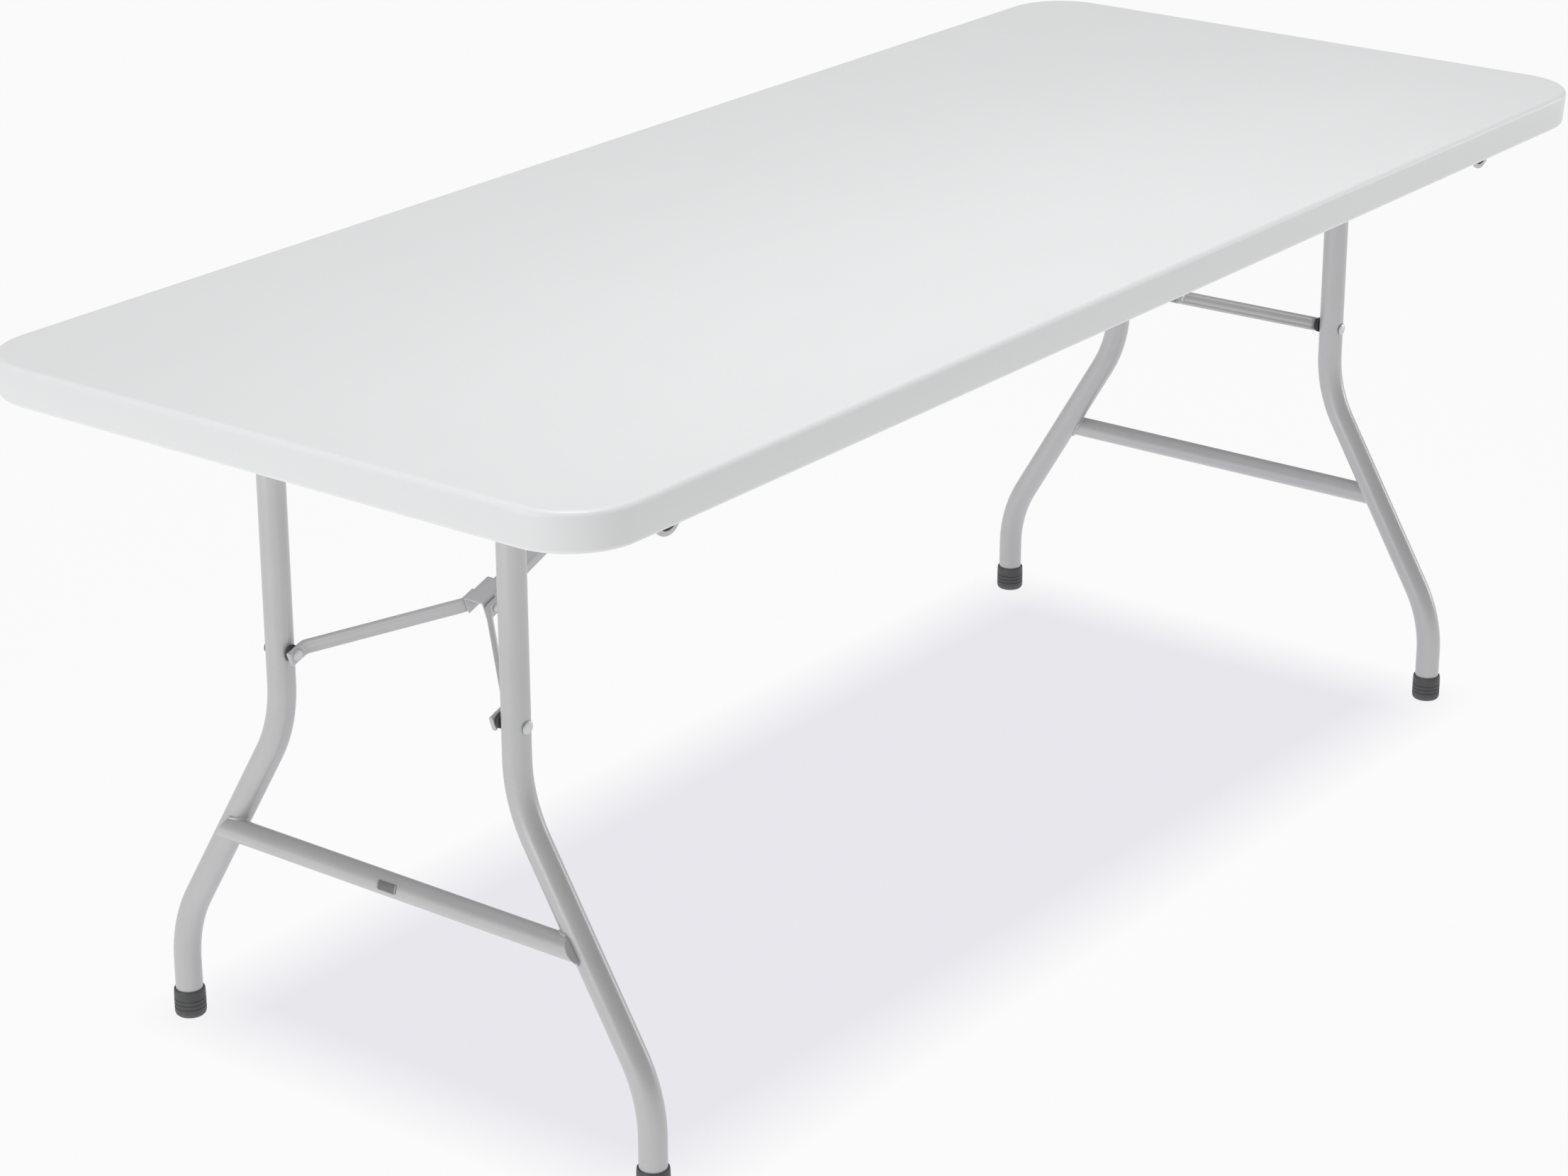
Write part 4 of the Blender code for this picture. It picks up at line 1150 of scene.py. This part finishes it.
def crossbar_cuts(shape):
    """The notches that fit the slanting legs, and what is trimmed off past their centre lines."""
    far, reach = 0.04, 0.08
    arch = arc((0, 0), LEG_RADIUS + GAP, 180, 360, 24)
    outline = [(-far, 0)] + arch + [(far, 0), (far, far), (-far, far)]
    for side in SIDES:
        centre, up = slanting_leg(side)
        outward = up.cross(Vector((1, 0, 0))) * side
        loft(shape, [[centre + up * w + Vector((u, 0, 0)) + outward * v for u, v in outline]
                     for w in (-reach, reach)])


def pivot_tube(shape):
    path = [Vector((0, y, 0)) for y in (-PIVOT_TUBE_END_Y, PIVOT_TUBE_END_Y)]
    tube(shape, path, PIVOT_TUBE_RADIUS, Vector((1, 0, 0)), 40)


def crossbar_seam(side, steps=40):
    """Where the crossbar's skin meets the leg's on the side towards the table's middle line."""
    centre, up = slanting_leg(side)
    toward = Vector((0, -side, 0))
    skin, leg_skin = CROSSBAR_RADIUS + GAP, LEG_RADIUS + GAP
    widest = 0.999 * math.acos((-leg_skin - CROSSBAR_X) / skin)
    run = toward - up * toward.dot(up)
    a = run.dot(run)
    route = []
    for k in range(steps + 1):
        angle = widest * (2 * k / steps - 1)
        offset = Vector((CROSSBAR_X + skin * math.cos(angle), 0, skin * math.sin(angle)))
        flat = offset - up * offset.dot(up)
        b, c = 2 * flat.dot(run), flat.dot(flat) - leg_skin ** 2
        reach = (-b + math.sqrt(max(0.0, b * b - 4 * a * c))) / (2 * a)
        route.append(centre + offset + toward * reach)
    return route


def pivot_seam(side, steps=56):
    """Where the leg's top meets the underside of the pivot tube."""
    route = []
    outer = LEG_RADIUS + GAP
    for k in range(steps):
        angle = 2 * math.pi * k / steps
        x = outer * math.cos(angle)
        drop = math.sqrt(max(0.0, PIVOT_TUBE_RADIUS ** 2 - x ** 2))
        route.append(Vector((x, side * LEG_TOP_Y + outer * math.sin(angle), -drop - GAP)))
    return route


def foot_cap(side):
    """A moulded cap with three fine grooves and a rounded foot."""
    def build(shape):
        bore = LEG_RADIUS + GAP
        profile = [(CAP_RADIUS - inset, z) for inset, z in CAP_FOOT]
        for groove in CAP_GROOVES:
            floor = CAP_RADIUS - CAP_GROOVE_DEPTH
            profile += [(CAP_RADIUS, groove - 0.0007), (floor, groove - 0.0003),
                        (floor, groove + 0.0003), (CAP_RADIUS, groove + 0.0007)]
        profile += [(CAP_RADIUS - 0.0002, CAP_HEIGHT - 0.0030),
                    (CAP_RADIUS - 0.0005, CAP_HEIGHT - 0.0008), (CAP_RADIUS - 0.0011, CAP_HEIGHT),
                    (bore + 0.0003, CAP_HEIGHT), (bore, CAP_HEIGHT - 0.0006), (bore, CAP_FLOOR)]
        turned(shape, along_z, (0, side * LEG_FOOT_Y), [(r, w - PIVOT_Z) for r, w in profile],
               sides=48)
    return build


def spacer(side):
    """A nylon spacer with softened edges."""
    def build(shape):
        bore = LEG_RIVET_RADIUS + GAP
        soft = 0.0006
        profile = [(bore + soft, SPACER_INNER_Y), (SPACER_RADIUS - soft, SPACER_INNER_Y),
                   (SPACER_RADIUS, SPACER_INNER_Y + soft), (SPACER_RADIUS, SPACER_OUTER_Y - soft),
                   (SPACER_RADIUS - soft, SPACER_OUTER_Y), (bore, SPACER_OUTER_Y),
                   (bore, SPACER_INNER_Y + soft)]
        turned(shape, along_y, (0, SPACER_Z - PIVOT_Z), [(r, side * w) for r, w in profile],
               closed=True, sides=40)
    return build


def leg_rivet(side):
    def build(shape):
        head = LEG_TOP_Y + LEG_RADIUS + GAP
        profile = [(LEG_RIVET_RADIUS, LEG_RIVET_START_Y), (LEG_RIVET_RADIUS, head)]
        profile += dome(LEG_RIVET_HEAD_RADIUS, head, LEG_RIVET_END_Y - head)
        turned(shape, along_y, (0, SPACER_Z - PIVOT_Z), [(r, side * w) for r, w in profile])
    return build


def label_plate(shape):
    """A thin plate curved round the crossbar's outer side, with rounded corners."""
    box_low, box_high = low("blank_label"), high("blank_label")
    near = CROSSBAR_RADIUS + GAP
    far = near + 2 * GAP
    centre = Vector((CROSSBAR_X - LEG_X, 0, CROSSBAR_Z))
    angles = [math.atan2(z - centre.z, x - centre.x) for x, z in
              ((box_high.x, box_high.z - GAP), (box_high.x, box_low.z + GAP))]
    start, end = sorted(a % (2 * math.pi) for a in angles)
    half_y = LABEL_LENGTH / 2
    rows = 12
    square_part, cut_part, corner_cut = 0.8, 0.2, 0.0012
    grids = []
    for radius in (near, far):
        grid = []
        for row in range(rows + 1):
            along = 2 * row / rows - 1
            angle = start + (end - start) * row / rows
            pinch = half_y - corner_cut * max(0.0, abs(along) - square_part) / cut_part
            spot = centre + Vector((math.cos(angle), 0, math.sin(angle))) * radius
            grid.append([shape.verts.new(spot + Vector((0, LABEL_MIDDLE_Y + s * pinch, 0)))
                         for s in (-1, 1)])
        grids.append(grid)
    inner, outer = grids
    for row in range(rows):
        for grid in grids:
            shape.faces.new((grid[row][0], grid[row][1], grid[row + 1][1], grid[row + 1][0]))
        for s in (0, 1):
            shape.faces.new((inner[row][s], outer[row][s], outer[row + 1][s], inner[row + 1][s]))
    for row in (0, rows):
        shape.faces.new((inner[row][0], inner[row][1], outer[row][1], outer[row][0]))


class TABLE_OT_leg_frames(bpy.types.Operator):
    """Bent leg tubes, crossbars, pivot tubes, weld beads, caps, spacers and their rivets"""
    bl_idname = "table.leg_frames"
    bl_label = "Leg frames"

    def execute(self, context):
        fit_both_ends("bent_leg", "leg_tube", "grey_coating", "leg_frame", leg_tube,
                      place=LEG_FRAME, cuts=leg_cuts, sides=SIDES)
        fit_both_ends("round_crossbar", "crossbar", "grey_coating", "leg_frame", crossbar,
                      place=LEG_FRAME, cuts=crossbar_cuts)
        fit_both_ends("cross_tube", "pivot_tube", "grey_coating", "leg_frame", pivot_tube,
                      place=LEG_FRAME)
        fit_both_ends("ribbed_cap", "foot_cap", "foot_rubber", "leg_frame", foot_cap,
                      place=LEG_FRAME, sides=SIDES)
        fit_both_ends("nylon_spacer", "brace_spacer", "black_nylon", "leg_frame", spacer,
                      place=LEG_FRAME, sides=SIDES)
        fit_both_ends("domed_rivet", "leg_rivet", "zinc_plate", "leg_frame", leg_rivet,
                      place=LEG_FRAME, sides=SIDES)
        attach(drawn("label_plate", label_plate), "label", "leg_frame_left", "blank_label")
        radius = context.scene.table_shape.weld_radius
        for end, turn in zip(ENDS, (Matrix(), HALF_TURN)):
            beads = []
            for side in SIDES:
                beads.append(weld_bead("bead", crossbar_seam(side), radius,
                                       CROSSBAR_BEAD_SEED + side, closed=False))
                beads.append(weld_bead("bead", pivot_seam(side), radius, PIVOT_BEAD_SEED + side))
            shape = bmesh.new()
            for bead in beads:
                shape.from_mesh(bead.data)
                bpy.data.objects.remove(bead, do_unlink=True)
            bmesh.ops.transform(shape, matrix=turn @ LEG_FRAME, verts=shape.verts)
            attach(new_object(f"weld_beads_{end}", shape), "grey_coating", f"leg_frame_{end}",
                   smooth=80)
        return {"FINISHED"}


# --- Braces -----------------------------------------------------------------------------------

def link(shape):
    outline = channel(LINK_HALF_WIDTH, -LINK_HALF_HEIGHT, LINK_HALF_HEIGHT, SHEET, LINK_CORNER)
    prism(shape, outline, along_x, -LINK_LENGTH - LINK_OVERHANG, LINK_OVERHANG)


def link_holes(shape):
    for x in (0.0, -LINK_LENGTH):
        rod(shape, along_y, (x, 0), PIN_RADIUS + GAP, -PIN_DRILL_Y, PIN_DRILL_Y)


def yoke(shape):
    """A short channel with rounded bends between its web and cheeks."""
    outline = channel(CHEEK_OUTER_Y, YOKE_LOW, YOKE_HIGH, CHEEK_OUTER_Y - CHEEK_INNER_Y,
                      YOKE_CORNER)
    prism(shape, outline, along_x, YOKE_BACK, YOKE_FRONT)


def yoke_holes(shape):
    rod(shape, along_y, (0, 0), PIN_RADIUS + GAP, -PIN_DRILL_Y, PIN_DRILL_Y)
    rod(shape, along_y, (STRUT_RIVET_X, 0), RIVET_RADIUS + GAP, -PIN_DRILL_Y, PIN_DRILL_Y)


def strut_section(depth):
    """A flat bar's section, with rounded edges and a pair of grooves in each face."""
    half = STRUT_THICKNESS / 2
    round_edge = half - 0.0002
    straight_z = STRUT_HALF_HEIGHT - round_edge
    side = [(straight_z + round_edge * u, half * v) for u, v in arc((0, 0), 1.0, 90, -90, 8)]
    groove = [(0.0050, 0), (0.0041, depth), (0.0033, depth), (0.0024, 0)]
    side += [(u, d - half) for u, d in groove] + [(-u, d - half) for u, d in groove[::-1]]
    return side + [(-u, -v) for u, v in side]


def strut(side):
    """A flat bar, bent near each end so that its tips lie along yoke and spacer."""
    def build(shape):
        corners = [Vector((x, side * y, 0)) for x, y in (
            (STRUT_TAIL, STRUT_INNER_Y), (STRUT_FIRST_BEND, STRUT_INNER_Y),
            (STRUT_LAST_BEND, STRUT_OUTER_Y), (-STRUT_LENGTH - STRUT_TIP, STRUT_OUTER_Y))]
        path = rounded_path(corners, STRUT_BEND_RADIUS, STRUT_BEND_STEPS)
        fade_in = [0.0] + [step / STRUT_BEND_STEPS for step in range(STRUT_BEND_STEPS + 1)]
        rings = [sweep(path, strut_section(STRUT_GROOVE * fade), Vector((0, 0, 1)))[index]
                 for index, fade in enumerate(fade_in + fade_in[::-1])]
        loft(shape, rings)
    return build


def strut_holes(side):
    def cut(shape):
        for x, y, radius in ((STRUT_RIVET_X, STRUT_INNER_Y, RIVET_RADIUS),
                             (-STRUT_LENGTH, STRUT_OUTER_Y, TIP_RIVET_RADIUS)):
            rod(shape, along_y, (x, 0), radius + GAP, side * (y - STRUT_THICKNESS),
                side * (y + STRUT_THICKNESS))
    return cut


def yoke_rivet(side):
    def build(shape):
        outer = STRUT_INNER_Y + STRUT_THICKNESS / 2 + GAP
        profile = [(RIVET_RADIUS, CHEEK_INNER_Y), (RIVET_RADIUS, outer)]
        profile += dome(RIVET_HEAD_RADIUS, outer, RIVET_HEAD)
        turned(shape, along_y, (STRUT_RIVET_X, 0), [(r, side * w) for r, w in profile], sides=24)
    return build


def tip_rivet(side):
    def build(shape):
        inner = STRUT_OUTER_Y - STRUT_THICKNESS / 2 - GAP
        profile = [(r, 2 * inner - w) for r, w in dome(TIP_RIVET_HEAD_RADIUS, inner, RIVET_HEAD)]
        profile = profile[::-1] + [(TIP_RIVET_RADIUS, inner),
                                   (TIP_RIVET_RADIUS, STRUT_OUTER_Y + STRUT_THICKNESS / 2)]
        turned(shape, along_y, (-STRUT_LENGTH, 0), [(r, side * w) for r, w in profile], sides=24)
    return build


class TABLE_OT_braces(bpy.types.Operator):
    """Links, yokes, V struts and the pins and rivets that join them"""
    bl_idname = "table.braces"
    bl_label = "Braces"

    def execute(self, context):
        fit_both_ends("pressed_link", "link", "grey_coating", "brace_link", link,
                      place=LINK_FRAME, cuts=link_holes)
        fit_both_ends("pressed_yoke", "yoke", "grey_coating", "brace_struts", yoke,
                      place=YOKE_FRAME, cuts=yoke_holes, soft=0.0004)
        fit_both_ends("yoke_pin", "hinge_pin", "zinc_plate", "brace_struts", headed_pin,
                      place=YOKE_FRAME)
        fit_both_ends("flat_strut", "strut", "grey_coating", "brace_struts", strut,
                      place=YOKE_FRAME, cuts=strut_holes, sides=SIDES)
        fit_both_ends("cheek_rivet", "yoke_rivet", "zinc_plate", "brace_struts", yoke_rivet,
                      place=YOKE_FRAME, sides=SIDES)
        fit_both_ends("tip_rivet", "strut_rivet", "zinc_plate", "brace_struts", tip_rivet,
                      place=YOKE_FRAME, sides=SIDES)
        return {"FINISHED"}


# --- Clips and fasteners ----------------------------------------------------------------------

def leg_clip(side):
    """A nylon clip that takes the folded crossbar between two jaws."""
    def build(shape):
        outer = CLIP_OPENING + CLIP_WALL
        base = MOUNTING - CLIP_BASE
        fillet = CLIP_FILLET
        right = [(CLIP_WING, MOUNTING), (CLIP_WING, base)]
        right += arc((outer + fillet, base - fillet), fillet, 90, 180, 4)
        right += [(outer, CLIP_LOW_Z + 0.001), (outer - 0.001, CLIP_LOW_Z)]
        right += [(CLIP_OPENING + 0.0008, CLIP_LOW_Z), (CLIP_OPENING, CLIP_LOW_Z + 0.0018)]
        right += arc((CLIP_OPENING - fillet, base - fillet), fillet, 0, 90, 4)
        outline = right + [(-u, w) for u, w in right[::-1]]
        outline = [(CLIP_X + u, w) for u, w in outline]
        start, end = side * CLIP_Y - CLIP_LENGTH / 2, side * CLIP_Y + CLIP_LENGTH / 2
        prism(shape, outline, along_y, start, end)
    return build


def clip_holes(side):
    return screw_holes([(CLIP_X + x, side * CLIP_Y) for x in (-CLIP_SCREW_X, CLIP_SCREW_X)],
                       MOUNTING - 2 * CLIP_BASE)


def pan_head(shape):
    """A screw, head down, with its seat at the origin."""
    head = dome(SCREW_HEAD_RADIUS, SCREW_HEAD_EDGE, SCREW_HEAD_RISE, 6)
    profile = [(r, -w) for r, w in head[::-1]]
    profile += [(SCREW_HEAD_RADIUS, 0.0), (THREAD_CREST, 0.0)]
    for turn in range(THREAD_TURNS):
        profile += [(THREAD_CREST, THREAD_PITCH * turn + 0.0001),
                    (THREAD_ROOT, THREAD_PITCH * turn + 0.0003)]
    turned(shape, along_z, (0, 0), profile + [(0.0016, 0.0028)], sides=24)


def cross_recess(shape):
    """The two slots of a screw's cross, one a little deeper so that their floors don't meet."""
    arms = (RECESS_HALF_WIDTH, RECESS_HALF_LENGTH)
    for quarter in (0, 1):
        wide, thin = arms[::-1] if quarter else arms
        outline = [(wide, thin), (-wide, thin), (-wide, -thin), (wide, -thin)]
        prism(shape, outline, along_z, -0.0030, -0.0011 - 0.0001 * quarter)


def bracket_rivet(side):
    """A rivet through a pivot bracket and the rail's web, domed both ends."""
    def build(shape):
        inner, outer = EAR_INNER_Y - GAP, RAIL_OUTER_Y + GAP
        near = [(r, inner - w) for r, w in dome(RIVET_HEAD_RADIUS, 0.0, BRACKET_RIVET_HEAD)[::-1]]
        profile = near + [(RIVET_RADIUS, inner), (RIVET_RADIUS, outer)]
        profile += dome(RIVET_HEAD_RADIUS, outer, BRACKET_RIVET_HEAD)
        turned(shape, along_y, (0, 0), [(r, side * w) for r, w in profile], sides=24)
    return build


class TABLE_OT_clips(bpy.types.Operator):
    """Nylon clips that hold the folded leg frames"""
    bl_idname = "table.clips"
    bl_label = "Leg clips"

    def execute(self, context):
        fit_both_ends("storage_clip", "leg_clip", "black_nylon", "top", leg_clip,
                      cuts=clip_holes, soft=0.0004, sides=SIDES)
        return {"FINISHED"}


class TABLE_OT_fasteners(bpy.types.Operator):
    """Screws that hold the under-frame to the panel, and the bracket rivets"""
    bl_idname = "table.fasteners"
    bl_label = "Screws and rivets"

    def execute(self, context):
        screw = drawn("pan_head", pan_head)
        carve(screw, cross_recess)
        steel = MOUNTING - SHEET - GAP
        rows = {"rail_screws": (rail_screw_places(), steel),
                "crossmember_screws": (crossmember_screw_places(), steel),
                "anchor_screws": (anchor_screw_places(), steel),
                "clip_screws": (clip_screw_places(), MOUNTING - CLIP_BASE - GAP)}
        for name, (places, z) in rows.items():
            row = repeated(name, [(x, y, z) for x, y in places], screw, "zinc_plate")
            attach(row, "zinc_plate", "top", smooth=40)
        bpy.data.objects.remove(screw, do_unlink=True)
        xs = [x + offset for x in (-LEG_X, LEG_X) for offset in (-EAR_RIVET_X, EAR_RIVET_X)]
        for side, place in zip(SIDES, PLACES):
            rivet = drawn("bracket_rivet", bracket_rivet(side))
            row = repeated(f"bracket_rivets_{place}", [(x, 0, EAR_RIVET_Z) for x in xs], rivet,
                           "zinc_plate")
            attach(row, "zinc_plate", "top", smooth=40)
            bpy.data.objects.remove(rivet, do_unlink=True)
        return {"FINISHED"}


# --- Stage ------------------------------------------------------------------------------------

VIEW_FROM = Vector((-3.284, -2.394, 1.9085))
VIEW_YAW = math.radians(37.328)
VIEW_PITCH = math.radians(21.534)
VIEW_ROLL = math.radians(-0.157)
LENS = 91.8
SHIFT = 0.0016
SENSOR_WIDTH = 36.0

SKY_STRENGTH = 0.39
OVERHEAD_STRENGTH = 1.45
OVERHEAD_SPREAD = 27
# Each lamp's name, place, aim, width, depth and watts
AREA_LAMPS = (
    ("end_light", (-4.5, 0.6, 0.9), (-0.9, 0, 0.6), 2.0, 2.0, 41),
    ("front_light", (-0.15, -0.30, HEIGHT + 0.7), (-0.15, -0.30, 0), 1.7, 0.16, 1.9),
    ("side_light", (4.2, -2.2, 0.7), (0.9, -0.38, 0.6), 1.2, 1.2, 17))
FLOOR_REACH = 40.0
FLOOR_DROP = 0.0005


def hang(light, place):
    """The light's lamp, which lights everything but the floor."""
    lamp = bpy.data.objects.new(light.name, light)
    lamp.location = place
    lamp.light_linking.receiver_collection = bpy.data.collections["unlit_by_lamps"]
    bpy.context.collection.objects.link(lamp)
    return lamp


def area_light(name, place, aim, width, depth, power):
    light = bpy.data.lights.new(name, "AREA")
    light.shape = "RECTANGLE"
    light.size = width
    light.size_y = depth
    light.energy = power
    lamp = hang(light, place)
    lamp.rotation_mode = "QUATERNION"
    lamp.rotation_quaternion = (Vector(aim) - Vector(place)).to_track_quat("-Z", "Y")
    lamp.visible_camera = False


def overhead_light():
    """A broad light from straight above."""
    light = bpy.data.lights.new("overhead_light", "SUN")
    light.energy = OVERHEAD_STRENGTH
    light.angle = math.radians(OVERHEAD_SPREAD)
    hang(light, (0, 0, 3))


def lay_floor(colour):
    """The floor, and the collection that keeps the lamps off it."""
    floor = drawn("studio_floor", lambda shape: shape.faces.new(
        [shape.verts.new((x * FLOOR_REACH, y * FLOOR_REACH, -FLOOR_DROP)) for x, y in
         ((-1, -1), (1, -1), (1, 1), (-1, 1))]))
    floor.data.materials.append(studio_floor(colour))
    unlit = bpy.data.collections.new("unlit_by_lamps")
    unlit.objects.link(floor)
    unlit.collection_objects[0].light_linking.link_state = "EXCLUDE"


def light_sky(scene):
    world = scene.world or bpy.data.worlds.new("studio")
    scene.world = world
    world.use_nodes = True
    sky = world.node_tree.nodes["Background"]
    sky.inputs["Color"].default_value = (1.0, 1.0, 1.0, 1.0)
    sky.inputs["Strength"].default_value = SKY_STRENGTH


def place_camera(scene):
    data = bpy.data.cameras.new("camera")
    data.sensor_width = SENSOR_WIDTH
    data.lens = LENS
    data.shift_x = SHIFT
    camera = bpy.data.objects.new("camera", data)
    ahead = Vector((math.cos(VIEW_PITCH) * math.cos(VIEW_YAW),
                    math.cos(VIEW_PITCH) * math.sin(VIEW_YAW), -math.sin(VIEW_PITCH)))
    camera.location = VIEW_FROM
    camera.rotation_mode = "QUATERNION"
    roll = Quaternion((0, 0, 1), VIEW_ROLL)
    camera.rotation_quaternion = ahead.to_track_quat("-Z", "Y") @ roll
    bpy.context.collection.objects.link(camera)
    scene.camera = camera


class TABLE_OT_stage(bpy.types.Operator):
    """Pale floor, soft light and the camera"""
    bl_idname = "table.stage"
    bl_label = "Stage"

    def execute(self, context):
        scene = context.scene
        lay_floor(tuple(scene.table_finish.floor_colour))
        light_sky(scene)
        overhead_light()
        for lamp in AREA_LAMPS:
            area_light(*lamp)
        scene.view_settings.view_transform = "Standard"
        place_camera(scene)
        return {"FINISHED"}


# --- Panel and registration -------------------------------------------------------------------

class TABLE_PT_panel(bpy.types.Panel):
    """Sidebar panel with the sizes, the finishes and a button for each group of pieces"""
    bl_idname = "TABLE_PT_panel"
    bl_label = "Folding table"
    bl_space_type = "VIEW_3D"
    bl_region_type = "UI"
    bl_category = "Table"

    def draw(self, context):
        for group in (context.scene.table_shape, context.scene.table_finish):
            column = self.layout.column(align=True)
            for name in group.__annotations__:
                column.prop(group, name)
        for operator in OPERATORS:
            self.layout.operator(operator.bl_idname)


OPERATORS = (TABLE_OT_top, TABLE_OT_under_frame, TABLE_OT_leg_frames, TABLE_OT_braces,
             TABLE_OT_clips, TABLE_OT_fasteners, TABLE_OT_stage)
CLASSES = (TableShape, TableFinish, *OPERATORS, TABLE_PT_panel)


def register():
    for one in CLASSES:
        bpy.utils.register_class(one)
    bpy.types.Scene.table_shape = PointerProperty(type=TableShape)
    bpy.types.Scene.table_finish = PointerProperty(type=TableFinish)


def unregister():
    del bpy.types.Scene.table_finish
    del bpy.types.Scene.table_shape
    for one in reversed(CLASSES):
        bpy.utils.unregister_class(one)


def main():
    register()
    bpy.ops.table.top()
    bpy.ops.table.under_frame()
    bpy.ops.table.leg_frames()
    bpy.ops.table.braces()
    bpy.ops.table.clips()
    bpy.ops.table.fasteners()
    bpy.ops.table.stage()


if __name__ == "__main__":
    main()
